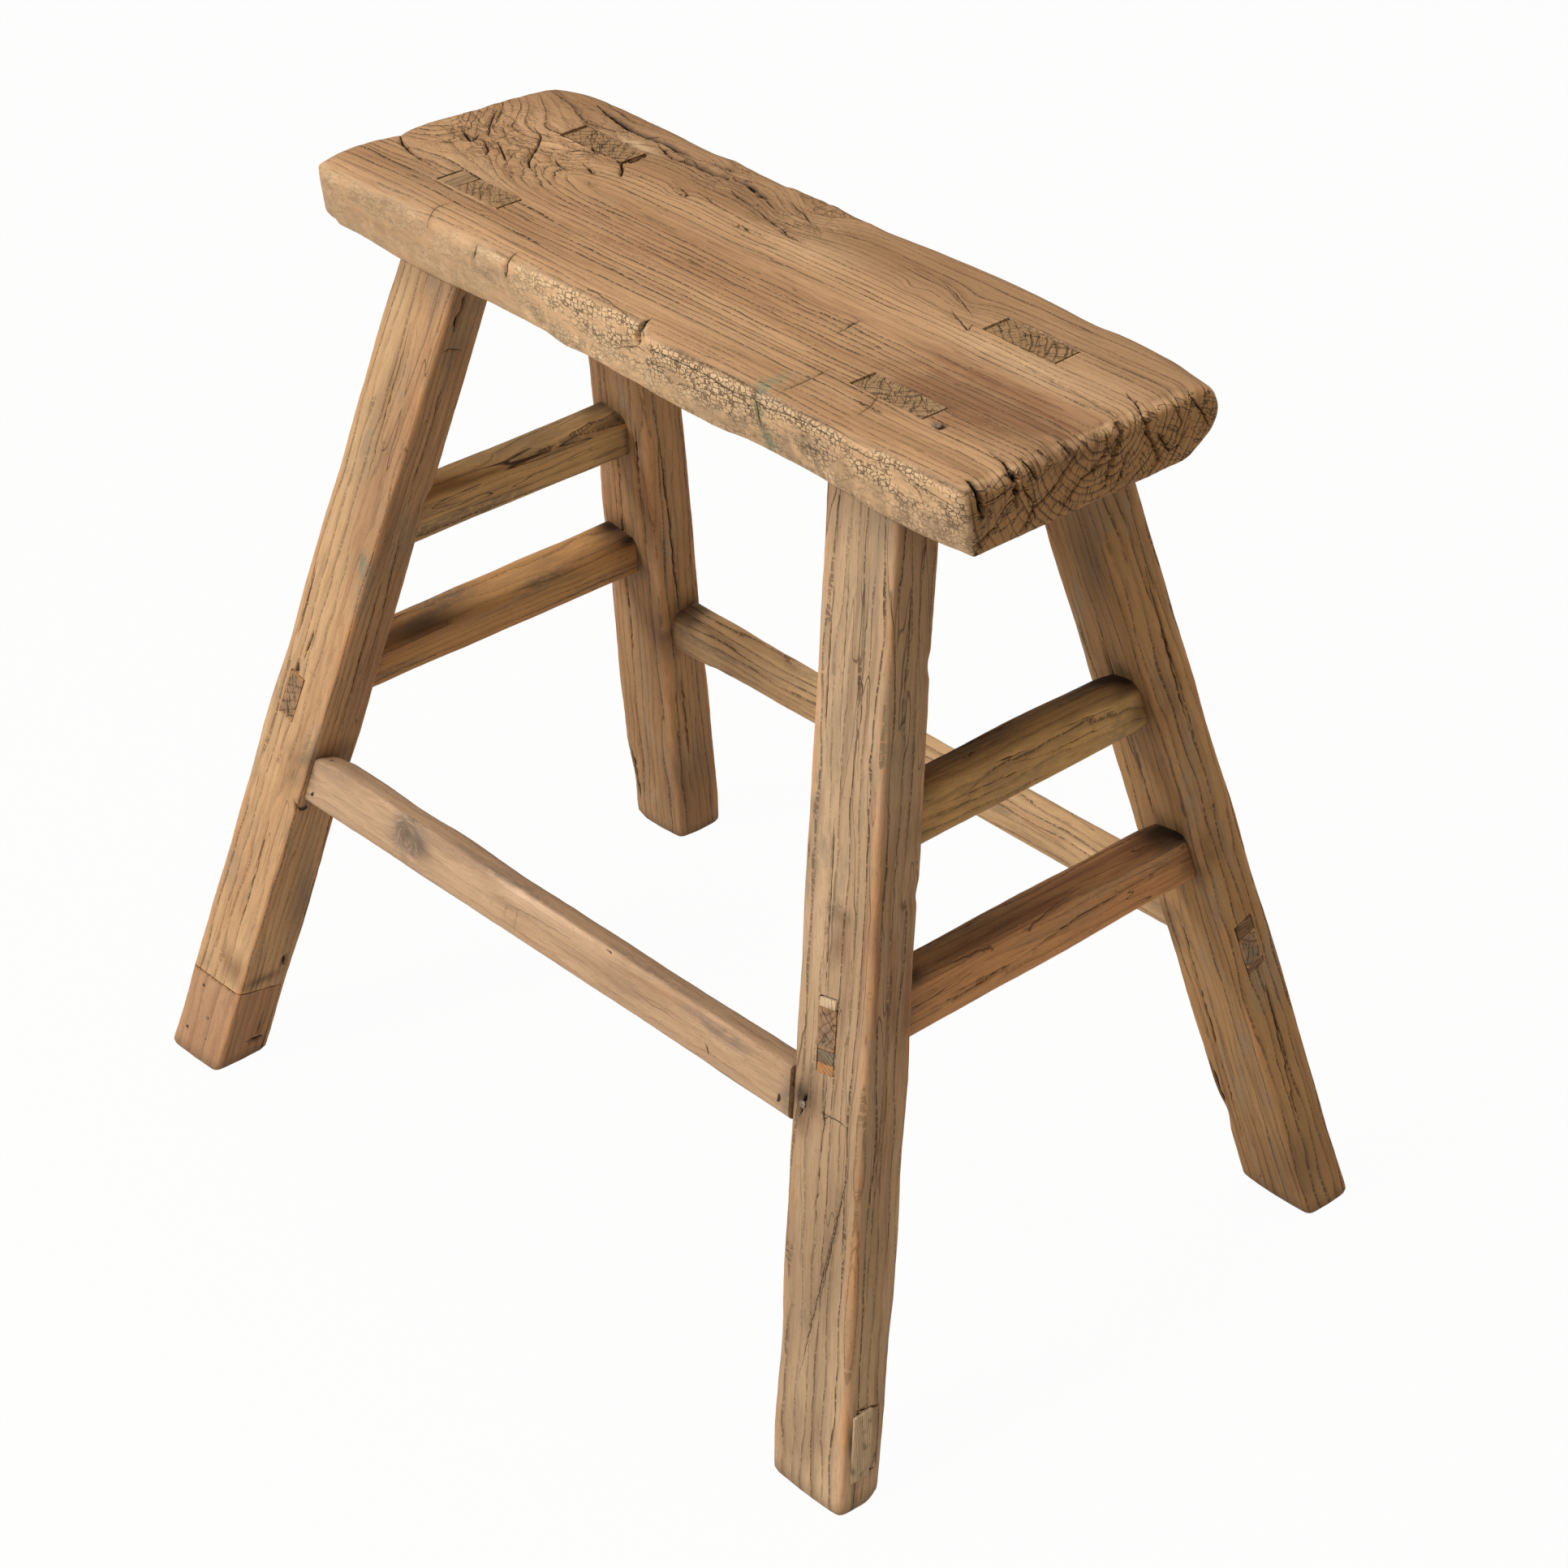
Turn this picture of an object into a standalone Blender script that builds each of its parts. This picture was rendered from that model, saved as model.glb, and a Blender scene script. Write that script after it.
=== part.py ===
"""An old Chinese elm stool: a live-edge plank seat on four splayed legs, tied by six rails.

Metres, +Z up. X runs along the seat, +X to its sawn right end, and -Y is the front. The origin is
on the floor, in the middle of the four feet. Every joint is a dry mortise and tenon.
"""

import math

import bmesh
import bpy
from mathutils import Matrix, Vector

# The stool as a whole.
STOOL_HEIGHT = 0.500
FIT_GAP = 0.0003
OVERRUN = 0.004

# The seat: a plank with a wandering edge, sawn square at its right end.
SEAT_LENGTH = 0.460
SEAT_DEPTH = 0.162
SEAT_THICKNESS = 0.0355
SEAT_SHIFT_X = 0.001
SEAT_SHIFT_Y = -0.004
SEAT_TOP_ROUND = 0.003
SEAT_UNDER_ROUND = 0.008
SEAT_OUTLINE_SHARES = (
    (-0.998, -0.765), (-0.970, -0.914), (-0.896, -0.951), (-0.439, -0.969), (-0.152, -0.944),
    (0.061, -0.963), (0.170, -1.000), (0.665, -1.000), (0.822, -0.975), (0.966, -0.960),
    (1.000, -0.880), (1.000, 0.049), (1.000, 0.780), (0.970, 0.940), (0.900, 0.990),
    (0.430, 1.000), (-0.004, 0.981), (-0.265, 0.957), (-0.526, 0.957), (-0.839, 0.969),
    (-0.896, 0.864), (-0.961, 0.704), (-0.989, 0.481), (-1.000, 0.049),
)

# The legs. A leg's axis runs straight from its foot's middle to its head's, which is level with
# the seat's top, and its sections stay level rectangles.
LEG_WIDTH = 0.044
LEG_DEPTH_FOOT = 0.029
LEG_DEPTH_HEAD = 0.027
LEG_ROUND = 0.003
FOOT_HALF_SPAN_X = 0.2415
FOOT_HALF_SPAN_Y = 0.172
HEAD_HALF_SPAN_X = 0.148
HEAD_HALF_SPAN_Y = 0.0465
FOOT_WEAR = 0.0032
FOOT_WEAR_HEIGHT = 0.014
FOOT_WEAR_SHARES = (0.0, 0.12, 0.40, 1.0)
LEG_SHARES = {
    "front_left": ((-0.992, -1.000), (-1.000, -1.000)),
    "front_right": ((1.000, -0.972), (0.990, -1.026)),
    "back_left": ((-1.000, 0.978), (-1.006, 0.970)),
    "back_right": ((0.994, 1.000), (0.998, 0.998)),
}

# The seat tenons: the legs' outer cheeks are sawn off, and the rest passes through the seat.
SEAT_TENON_THICKNESS = 0.016
SEAT_TENON_SINK = 0.0004
SEAT_MORTISE_END_GAP = 0.001
SEAT_WEDGE_LENGTH = 0.0125
SEAT_WEDGE_TAPER = 0.002
SEAT_WEDGE_LIFT = 0.003

# The end rails, from a front leg to a back leg. The lower pair's tenons pass through the legs.
END_RAIL_WIDTH = 0.025
END_RAIL_HEIGHT = 0.029
END_RAIL_ROUND = 0.0035
END_TENON_WIDTH = 0.011
END_TENON_HEIGHT = 0.020
UPPER_RAIL_LEVEL = 0.3110
LOWER_RAIL_LEVEL = 0.2235
BLIND_TENON_DEPTH = 0.014
TENON_PROUD = 0.0004
# Each rail's section, rounding and tenon height are shares of the sizes above. Its place outwards
# from the legs' axes, and its tenon's from its own middle, are shares of the leg's width.
END_RAIL_SHARES = {
    "left_upper": {"width": 0.86, "height": 1.00, "round": 1.0, "tenon": 1.00,
                   "outset": 0.145, "tenon_shift": -0.10},
    "left_lower": {"width": 1.00, "height": 0.93, "round": 1.0, "tenon": 1.25,
                   "outset": 0.205, "tenon_shift": -0.10},
    "right_upper": {"width": 0.98, "height": 1.07, "round": 2.4, "tenon": 1.00,
                    "outset": 0.080, "tenon_shift": -0.07},
    "right_lower": {"width": 1.00, "height": 1.00, "round": 1.5, "tenon": 1.00,
                    "outset": 0.100, "tenon_shift": -0.14},
}

# The long rails, from a left leg to a right leg. The front one is a later, sawn replacement that
# is nailed in; the back one is original, and its tenons pass through the legs.
FRONT_RAIL_WIDTH = 0.020
FRONT_RAIL_HEIGHT = 0.028
FRONT_RAIL_LEVEL = 0.1825
FRONT_RAIL_ROUND = 0.003
FRONT_RAIL_WORN_ROUND = 0.010
FRONT_TENON_HEIGHT = 0.016
BACK_RAIL_WIDTH = 0.019
BACK_RAIL_HEIGHT = 0.028
BACK_RAIL_LEVEL = 0.1715
BACK_RAIL_ROUND = 0.004
BACK_RAIL_WORN_ROUND = 0.009
BACK_TENON_HEIGHT = 0.0175
BACK_TENON_DROP = 0.0055
LONG_TENON_WIDTH = 0.012

# Wedges and packing at the through tenons: thickness at the leg's face, and further in.
WEDGE_TAPER_SHARE = 0.35
WEDGE_DEPTH_SHARE = 0.80
END_WEDGE_UPPER_THICKNESS = 0.0058
END_WEDGE_LOWER_THICKNESS = 0.0046
TENON_SHIM_THICKNESS = 0.0045
TENON_SHIM_DEPTH_SHARE = 0.45
LONG_WEDGE_UPPER_THICKNESS = 0.0075
LONG_WEDGE_LOWER_THICKNESS = 0.0030

# Repairs: a new toe let into the front left foot, and an inlay in the front right one.
TOE_HEIGHT = 0.0535
TOE_SEAM_DROP = 0.009
TOE_BACK_STRIP = 0.005
PATCH_LENGTH = 0.033
PATCH_WIDTH = 0.0125
PATCH_DEPTH = 0.006
PATCH_MIDDLE_HEIGHT = 0.031
PATCH_OFFSET = 0.0035

# Iron nails.
NAIL_SHANK_RADIUS = 0.0009
NAIL_HEAD_RADIUS = 0.0021
NAIL_HEAD_THICKNESS = 0.0008
NAIL_POINT_LENGTH = 0.004
NAIL_SIDES = 10
RAIL_NAIL_LENGTH = 0.030
RAIL_NAIL_SETBACK = 0.009
RAIL_NAIL_SKEW_SHARE = 1.2
LEG_NAIL_LENGTH = 0.024
LEG_NAIL_INSET = 0.006
LEG_NAIL_DROP = 0.0015
TOE_NAIL_LENGTH = 0.024
SEAT_NAIL_LENGTH = 0.024
SEAT_NAIL_SIDE_GAP = 0.010
TOE_NAIL_SHARES = ((-0.35, 0.80), (0.10, 0.50), (-0.50, 0.27), (0.25, 0.27))

WORN_ELM = (0.36, 0.23, 0.12)
PALE_ELM = (0.42, 0.28, 0.15)
DARK_ELM = (0.27, 0.17, 0.09)
PINK_RAIL = (0.40, 0.25, 0.16)
GREY_WEDGE = (0.26, 0.20, 0.15)
PALE_PATCH = (0.50, 0.38, 0.25)
IRON = (0.10, 0.09, 0.09)


def clear_scene():
    for obj in list(bpy.data.objects):
        bpy.data.objects.remove(obj, do_unlink=True)


def new_collection(name):
    collection = bpy.data.collections.new(name)
    bpy.context.scene.collection.children.link(collection)
    return collection


def finish_material(name, colour, roughness, metallic):
    material = bpy.data.materials.new(name)
    material.use_nodes = True
    shader = material.node_tree.nodes["Principled BSDF"]
    shader.inputs["Base Color"].default_value = (*colour, 1.0)
    shader.inputs["Roughness"].default_value = roughness
    shader.inputs["Metallic"].default_value = metallic
    material.diffuse_color = (*colour, 1.0)
    return material


def mesh_object(name, bm, collection):
    bm.normal_update()
    bmesh.ops.recalc_face_normals(bm, faces=bm.faces)
    mesh = bpy.data.meshes.new(name)
    bm.to_mesh(mesh)
    bm.free()
    obj = bpy.data.objects.new(name, mesh)
    collection.objects.link(obj)
    return obj


def piece(name, bm, colour, roughness=0.75, metallic=0.0):
    """A node of the stool, with its own finish."""
    obj = mesh_object(name, bm, stool)
    obj.data.materials.append(finish_material(name, colour, roughness, metallic))
    obj.data.shade_smooth()
    obj.data.set_sharp_from_angle(angle=math.radians(32))
    return obj


def cutter(name, bm):
    obj = mesh_object(name, bm, cutters)
    obj.hide_render = True
    obj.display_type = "WIRE"
    return obj


def boolean(obj, other, operation):
    modifier = obj.modifiers.new(f"{operation.lower()} {other.name}", "BOOLEAN")
    modifier.operation = operation
    modifier.solver = "EXACT"
    modifier.object = other


def cube_of(corner):
    """A bmesh cube whose eight corners are moved to corner(x_side, y_side, z_side)."""
    bm = bmesh.new()
    bmesh.ops.create_cube(bm, size=2.0)
    for vert in bm.verts:
        vert.co = corner(*(1 if value > 0 else -1 for value in vert.co))
    return bm


def turned(profile):
    """A closed round solid about Z from (radius, height) points that start and end on the axis."""
    bm = bmesh.new()
    verts = [bm.verts.new((radius, 0.0, height)) for radius, height in profile]
    edges = [bm.edges.new(pair) for pair in zip(verts, verts[1:])]
    bmesh.ops.spin(
        bm, geom=verts + edges, axis=(0, 0, 1), cent=(0, 0, 0),
        angle=math.tau, steps=NAIL_SIDES, use_merge=True,
    )
    bmesh.ops.remove_doubles(bm, verts=bm.verts, dist=NAIL_SHANK_RADIUS / 100)
    return bm


class Leg:
    """A leg's axis and faces, as functions of the height above the floor."""

    def __init__(self, name, foot_shares, head_shares):
        self.name = name
        self.foot = Vector((FOOT_HALF_SPAN_X * foot_shares[0], FOOT_HALF_SPAN_Y * foot_shares[1], 0))
        self.head = Vector(
            (HEAD_HALF_SPAN_X * head_shares[0], HEAD_HALF_SPAN_Y * head_shares[1], STOOL_HEIGHT)
        )
        self.sides = (math.copysign(1, self.foot.x), math.copysign(1, self.foot.y))

    def axis(self, height):
        return self.foot.lerp(self.head, height / STOOL_HEIGHT)

    def slope(self, direction):
        return (self.head[direction] - self.foot[direction]) / STOOL_HEIGHT

    def thickness(self, direction, height):
        if direction == 0:
            return LEG_WIDTH
        return LEG_DEPTH_FOOT + (LEG_DEPTH_HEAD - LEG_DEPTH_FOOT) * height / STOOL_HEIGHT

    def inner_face(self, direction, height, reach=0.0):
        """Where the face that looks to the stool's middle is, or a plane that far inside it."""
        side = self.sides[direction]
        middle = self.axis(height)[direction]
        return middle - side * self.thickness(direction, height) / 2 + side * reach

    def point(self, across, from_inner, height):
        """across from the axis along X, and outwards from the inner face along Y."""
        return Vector((self.axis(height).x + across, self.inner_face(1, height, from_inner), height))

    def block(self, across, from_inner, heights):
        """A block that leans with the leg, from three (low, high) pairs."""

        def corner(x_side, y_side, z_side):
            pick = [pair[side > 0] for pair, side in
                    ((across, x_side), (from_inner, y_side), (heights, z_side))]
            return self.point(*pick)

        return cube_of(corner)

    def blank(self):
        """The whole leg before its joints are cut, from the floor to its tenon's end."""
        top = STOOL_HEIGHT - SEAT_TENON_SINK
        bm = bmesh.new()
        bmesh.ops.create_cube(bm, size=1.0)
        bmesh.ops.scale(bm, vec=(LEG_WIDTH, LEG_DEPTH_FOOT, top), verts=bm.verts)
        bmesh.ops.translate(bm, vec=(0, 0, top / 2), verts=bm.verts)
        upright = [edge for edge in bm.edges if abs(edge.verts[0].co.z - edge.verts[1].co.z) > top / 2]
        bmesh.ops.bevel(
            bm, geom=upright, offset=LEG_ROUND, offset_type="OFFSET", affect="EDGES",
            segments=2, profile=0.5, material=-1, clamp_overlap=True,
        )
        for share in FOOT_WEAR_SHARES[1:]:
            bmesh.ops.bisect_plane(
                bm, geom=bm.verts[:] + bm.edges[:] + bm.faces[:],
                plane_co=(0, 0, FOOT_WEAR_HEIGHT * share), plane_no=(0, 0, 1),
            )
        for vert in bm.verts:
            height = vert.co.z
            worn = max(0.0, 1 - height / FOOT_WEAR_HEIGHT)
            inset = FOOT_WEAR * (1 - math.sqrt(1 - worn * worn))
            across = vert.co.x * (1 - 2 * inset / LEG_WIDTH)
            through = vert.co.y / LEG_DEPTH_FOOT * (self.thickness(1, height) - 2 * inset)
            middle = self.axis(height)
            vert.co = (middle.x + across, middle.y + through, height)
        return bm


class Rail:
    """A rail between two legs, turned so that it lies square to their splay."""

    def __init__(self, name, legs, run, level, width, height, outset, radius, worn_radius=0.0):
        self.name = name
        self.legs = legs
        self.run = run
        self.width = width
        self.height = height
        self.radius = radius
        self.worn_radius = worn_radius or radius
        self.cross = 1 - run
        outward = legs[0].sides[self.cross]
        slope = sum(leg.slope(self.cross) for leg in legs) / 2
        self.up = Vector((0, 0, 1))
        self.up[self.cross] = slope
        self.up.normalize()
        self.across = Vector((0, 0, -slope * outward))
        self.across[self.cross] = outward
        self.across.normalize()
        self.middle = Vector((0, 0, level))
        self.middle[self.cross] = sum(leg.axis(level)[self.cross] for leg in legs) / 2 + outward * outset

    def point(self, leg, across, up, reach, from_outer=False):
        """A point of the rail's section, at a reach into a leg from its inner or its outer face."""
        place = self.middle + self.across * across + self.up * up
        if from_outer:
            reach = leg.thickness(self.run, place.z) - reach
        place[self.run] = leg.inner_face(self.run, place.z, reach)
        return place

    def bar(self, width, height, shift, rise, reaches, rounded=False):
        """A bar along the rail. A reach is a length past each leg's inner face, or past its outer
        face where the word beside it is true. The top edge at the stool's back is the worn one."""
        bm = bmesh.new()
        bmesh.ops.create_cube(bm, size=1.0)
        length = (self.legs[1].foot - self.legs[0].foot).length
        bmesh.ops.scale(bm, vec=(width, length, height), verts=bm.verts)
        if rounded:
            back_side = self.across.y * width
            long_edges = [edge for edge in bm.edges if edge.calc_length() > length / 2]
            worn_edges = [
                edge for edge in long_edges
                if edge.verts[0].co.z > 0 and edge.verts[0].co.x * back_side > 0
            ]
            other_edges = [edge for edge in long_edges if edge not in worn_edges]
            for edges, radius in ((other_edges, self.radius), (worn_edges, self.worn_radius)):
                bmesh.ops.bevel(
                    bm, geom=edges, offset=radius, offset_type="OFFSET", affect="EDGES",
                    segments=3, profile=0.5, material=-1, clamp_overlap=True,
                )
        for vert in bm.verts:
            end = 1 if vert.co.y > 0 else 0
            reach, through = reaches[end]
            vert.co = self.point(
                self.legs[end], vert.co.x + shift, vert.co.z + rise,
                -reach if through else reach, from_outer=through,
            )
        return bm

    def stack_piece(self, end, width, shift, near, far, depths):
        """A wedge beside the tenon: near and far give its two faces' places up the leg at a depth
        inside the leg's outer face, and depths are where it starts and ends."""

        def corner(x_side, y_side, z_side):
            depth = depths[y_side > 0]
            place = (far if z_side > 0 else near)(depth)
            return self.point(self.legs[end], shift + x_side * width / 2, place, depth, from_outer=True)

        return cube_of(corner)


def seat_blank():
    """The plank: its outline is extruded, then its top and under edges are rounded."""
    bm = bmesh.new()
    outline = [
        bm.verts.new((
            SEAT_SHIFT_X + SEAT_LENGTH / 2 * x_share,
            SEAT_SHIFT_Y + SEAT_DEPTH / 2 * y_share,
            STOOL_HEIGHT,
        ))
        for x_share, y_share in SEAT_OUTLINE_SHARES
    ]
    top_face = bm.faces.new(outline)
    under = bmesh.ops.extrude_face_region(bm, geom=[top_face], use_keep_orig=True)
    under_verts = [item for item in under["geom"] if isinstance(item, bmesh.types.BMVert)]
    bmesh.ops.translate(bm, vec=(0, 0, -SEAT_THICKNESS), verts=under_verts)
    middle_height = STOOL_HEIGHT - SEAT_THICKNESS / 2
    for radius, is_top in ((SEAT_TOP_ROUND, True), (SEAT_UNDER_ROUND, False)):
        rim = [
            edge for edge in bm.edges
            if all((vert.co.z > middle_height) == is_top for vert in edge.verts)
            and any(abs(face.normal.z) < 0.5 for face in edge.link_faces)
        ]
        bmesh.ops.bevel(
            bm, geom=rim, offset=radius, offset_type="OFFSET", affect="EDGES",
            segments=3, profile=0.5, material=-1, clamp_overlap=True,
        )
    return bm


def nail_profile(length, grow=0.0, head_top=0.0):
    """Down from the head's top, which lies level with the wood, to the point."""
    shank = NAIL_SHANK_RADIUS + grow
    head = NAIL_HEAD_RADIUS + grow
    under_head = -NAIL_HEAD_THICKNESS - grow
    return (
        (0.0, head_top), (head, head_top), (head, under_head), (shank, under_head),
        (shank, -length + NAIL_POINT_LENGTH - grow), (0.0, -length - 2 * grow),
    )


def nail_bmesh(place, direction, length, grow=0.0, head_top=0.0):
    nail = turned(nail_profile(length, grow, head_top))
    turn = Vector((0, 0, -1)).rotation_difference(direction).to_matrix().to_4x4()
    bmesh.ops.transform(nail, matrix=Matrix.Translation(place) @ turn, verts=nail.verts)
    return nail


def add_nail(name, place, direction, length, pieces):
    """A nail, and its hole in each piece that it passes through."""
    piece(name, nail_bmesh(place, direction, length), IRON, roughness=0.6, metallic=0.8)
    hole = cutter(f"{name}_hole", nail_bmesh(place, direction, length, FIT_GAP, OVERRUN))
    for obj in pieces:
        boolean(obj, hole, "DIFFERENCE")


clear_scene()
stool = new_collection("chinese_stool")
cutters = new_collection("cutters")

legs = {name: Leg(name, *shares) for name, shares in LEG_SHARES.items()}
shoulder = STOOL_HEIGHT - SEAT_THICKNESS - FIT_GAP
half_width = LEG_WIDTH / 2

# Legs and their seat tenons, with the matching mortises in the seat.
seat = piece("seat", seat_blank(), WORN_ELM)
leg_objects = {}
for name, leg in legs.items():
    leg_object = piece(f"leg_{name}", leg.blank(), PALE_ELM if leg.sides[1] < 0 else WORN_ELM)
    leg_objects[name] = leg_object
    cheek = leg.block(
        (-LEG_WIDTH, LEG_WIDTH),
        (SEAT_TENON_THICKNESS, LEG_DEPTH_FOOT + OVERRUN),
        (shoulder, STOOL_HEIGHT + OVERRUN),
    )
    boolean(leg_object, cutter(f"cheek_{name}", cheek), "DIFFERENCE")
    mortise = leg.block(
        (-half_width - SEAT_MORTISE_END_GAP, half_width + SEAT_MORTISE_END_GAP),
        (-FIT_GAP, SEAT_TENON_THICKNESS + FIT_GAP),
        (shoulder - OVERRUN, STOOL_HEIGHT + OVERRUN),
    )
    boolean(seat, cutter(f"seat_mortise_{name}", mortise), "DIFFERENCE")

# The front left tenon lacks its outer part, and a wedge is driven in there.
wedge_leg = legs["front_left"]
wedge_outer = -half_width - SEAT_MORTISE_END_GAP + FIT_GAP
wedge_inner = wedge_outer + SEAT_WEDGE_LENGTH
missing_part = wedge_leg.block(
    (-LEG_WIDTH, wedge_inner + FIT_GAP),
    (-OVERRUN, LEG_DEPTH_FOOT + OVERRUN),
    (shoulder, STOOL_HEIGHT + OVERRUN),
)
boolean(leg_objects["front_left"], cutter("missing_part", missing_part), "DIFFERENCE")


def seat_wedge_corner(x_side, y_side, z_side):
    taper = SEAT_WEDGE_TAPER if z_side < 0 else 0.0
    across = wedge_inner if x_side > 0 else wedge_outer + taper
    from_inner = SEAT_TENON_THICKNESS if y_side > 0 else 0.0
    height = STOOL_HEIGHT - SEAT_TENON_SINK if z_side > 0 else shoulder + SEAT_WEDGE_LIFT
    return wedge_leg.point(across, from_inner, height)


piece("seat_wedge_front_left", cube_of(seat_wedge_corner), DARK_ELM)


class Tenon:
    """A rail's tenon section: its size, and its middle's place in the rail's section."""

    def __init__(self, width, height, shift=0.0, rise=0.0):
        self.width = width
        self.height = height
        self.shift = shift
        self.rise = rise


def add_rail(rail, colour, tenon, through):
    """The rail with its tenons, and their mortises in both legs."""
    body = rail.bar(rail.width, rail.height, 0.0, 0.0, ((-FIT_GAP, False),) * 2, rounded=True)
    rail_object = piece(rail.name, body, colour)
    tip = (TENON_PROUD, True) if through else (BLIND_TENON_DEPTH, False)
    tenons = rail.bar(tenon.width, tenon.height, tenon.shift, tenon.rise, (tip, tip))
    boolean(rail_object, cutter(f"{rail.name}_tenons", tenons), "UNION")
    deep = (OVERRUN, True) if through else (BLIND_TENON_DEPTH + FIT_GAP, False)
    mortises = rail.bar(
        tenon.width + 2 * FIT_GAP, tenon.height + 2 * FIT_GAP, tenon.shift, tenon.rise, (deep, deep)
    )
    mortise_cutter = cutter(f"{rail.name}_mortises", mortises)
    for leg in rail.legs:
        boolean(leg_objects[leg.name], mortise_cutter, "DIFFERENCE")
    return rail_object


# The end rails. Only the lower pair's tenons pass through.
end_rails = {}
end_tenons = {}
for name, shares in END_RAIL_SHARES.items():
    side, tier = name.split("_")
    rail = Rail(
        f"end_rail_{name}", (legs[f"front_{side}"], legs[f"back_{side}"]), 1,
        UPPER_RAIL_LEVEL if tier == "upper" else LOWER_RAIL_LEVEL,
        END_RAIL_WIDTH * shares["width"], END_RAIL_HEIGHT * shares["height"],
        LEG_WIDTH * shares["outset"], END_RAIL_ROUND * shares["round"],
    )
    tenon = Tenon(
        END_TENON_WIDTH, END_TENON_HEIGHT * shares["tenon"], LEG_WIDTH * shares["tenon_shift"]
    )
    add_rail(rail, WORN_ELM, tenon, tier == "lower")
    end_rails[name] = rail
    end_tenons[name] = tenon

# The front rail's face lies level with the front legs' faces.
front_outset = (legs["front_left"].thickness(1, FRONT_RAIL_LEVEL) - FRONT_RAIL_WIDTH) / 2
front_rail = Rail(
    "long_rail_front", (legs["front_left"], legs["front_right"]), 0, FRONT_RAIL_LEVEL,
    FRONT_RAIL_WIDTH, FRONT_RAIL_HEIGHT, front_outset, FRONT_RAIL_ROUND, FRONT_RAIL_WORN_ROUND,
)
front_rail_object = add_rail(
    front_rail, PINK_RAIL, Tenon(LONG_TENON_WIDTH, FRONT_TENON_HEIGHT), False
)

# The back rail's tenons lie low in it.
back_rail = Rail(
    "long_rail_back", (legs["back_left"], legs["back_right"]), 0, BACK_RAIL_LEVEL,
    BACK_RAIL_WIDTH, BACK_RAIL_HEIGHT, 0.0, BACK_RAIL_ROUND, BACK_RAIL_WORN_ROUND,
)
back_tenon = Tenon(LONG_TENON_WIDTH, BACK_TENON_HEIGHT, rise=-BACK_TENON_DROP)
add_rail(back_rail, WORN_ELM, back_tenon, True)


def add_wedges(rail, end, tenon, up_side, layers):
    """Wedges stacked on one side of a through tenon, with the slot that they need in the leg."""
    leg = rail.legs[end]
    thickness = leg.thickness(rail.run, rail.middle.z)

    def face_line(at_face, at_end, depth_share):
        def place_up(depth):
            from_tenon = at_face + (at_end - at_face) * depth / (thickness * depth_share)
            return tenon.rise + up_side * from_tenon

        return place_up

    at_face = at_end = tenon.height / 2 + FIT_GAP
    for name, wedge_thickness, depth_share, colour in layers:
        near = face_line(at_face, at_end, depth_share)
        at_face += wedge_thickness
        at_end += wedge_thickness * WEDGE_TAPER_SHARE
        far = face_line(at_face, at_end, depth_share)
        depths = (-TENON_PROUD, thickness * depth_share)
        wedge = rail.stack_piece(end, tenon.width - 2 * FIT_GAP, tenon.shift, near, far, depths)
        piece(name, wedge, colour)
        at_face += FIT_GAP
        at_end += FIT_GAP
    slot = rail.stack_piece(
        end, tenon.width, tenon.shift, lambda depth: tenon.rise,
        face_line(at_face, at_end, depth_share), (-OVERRUN, thickness * depth_share + FIT_GAP),
    )
    boolean(leg_objects[leg.name], cutter(f"{name}_slot", slot), "DIFFERENCE")


add_wedges(
    end_rails["right_lower"], 0, end_tenons["right_lower"], -1,
    (
        ("tenon_wedge_front_right_upper", END_WEDGE_UPPER_THICKNESS, WEDGE_DEPTH_SHARE, GREY_WEDGE),
        ("tenon_wedge_front_right_lower", END_WEDGE_LOWER_THICKNESS, WEDGE_DEPTH_SHARE, DARK_ELM),
    ),
)
add_wedges(
    end_rails["right_lower"], 0, end_tenons["right_lower"], 1,
    (("tenon_shim_front_right", TENON_SHIM_THICKNESS, TENON_SHIM_DEPTH_SHARE, PALE_PATCH),),
)
add_wedges(
    back_rail, 1, back_tenon, 1,
    (("tenon_wedge_back_right_upper", LONG_WEDGE_UPPER_THICKNESS, WEDGE_DEPTH_SHARE, DARK_ELM),),
)
add_wedges(
    back_rail, 1, back_tenon, -1,
    (("tenon_wedge_back_right_lower", LONG_WEDGE_LOWER_THICKNESS, WEDGE_DEPTH_SHARE, GREY_WEDGE),),
)

# The new toe of the front left foot: the old leg stays behind it as a thin strip.
toe_leg = legs["front_left"]


def toe_region(gap):
    """The space in front of the strip and under the sloping seam, drawn in by a gap."""

    def corner(x_side, y_side, z_side):
        at_front = y_side > 0
        height = -OVERRUN
        if z_side > 0:
            height = TOE_HEIGHT - gap - (0.0 if at_front else TOE_SEAM_DROP)
        from_inner = LEG_DEPTH_FOOT + OVERRUN if at_front else TOE_BACK_STRIP + gap
        return toe_leg.point(x_side * LEG_WIDTH, from_inner, height)

    return cube_of(corner)


boolean(leg_objects["front_left"], cutter("toe_space", toe_region(0.0)), "DIFFERENCE")
toe = piece("foot_toe_front_left", toe_leg.blank(), PINK_RAIL)
boolean(toe, cutter("toe_bounds", toe_region(FIT_GAP)), "INTERSECT")

# The inlay in the right side of the front right foot.
patch_leg = legs["front_right"]


def patch_region(gap, outside):
    middle = LEG_DEPTH_FOOT / 2 + PATCH_OFFSET
    return patch_leg.block(
        (half_width - PATCH_DEPTH + gap, half_width + outside),
        (middle - PATCH_WIDTH / 2 + gap, middle + PATCH_WIDTH / 2 - gap),
        (PATCH_MIDDLE_HEIGHT - PATCH_LENGTH / 2 + gap, PATCH_MIDDLE_HEIGHT + PATCH_LENGTH / 2 - gap),
    )


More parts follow.
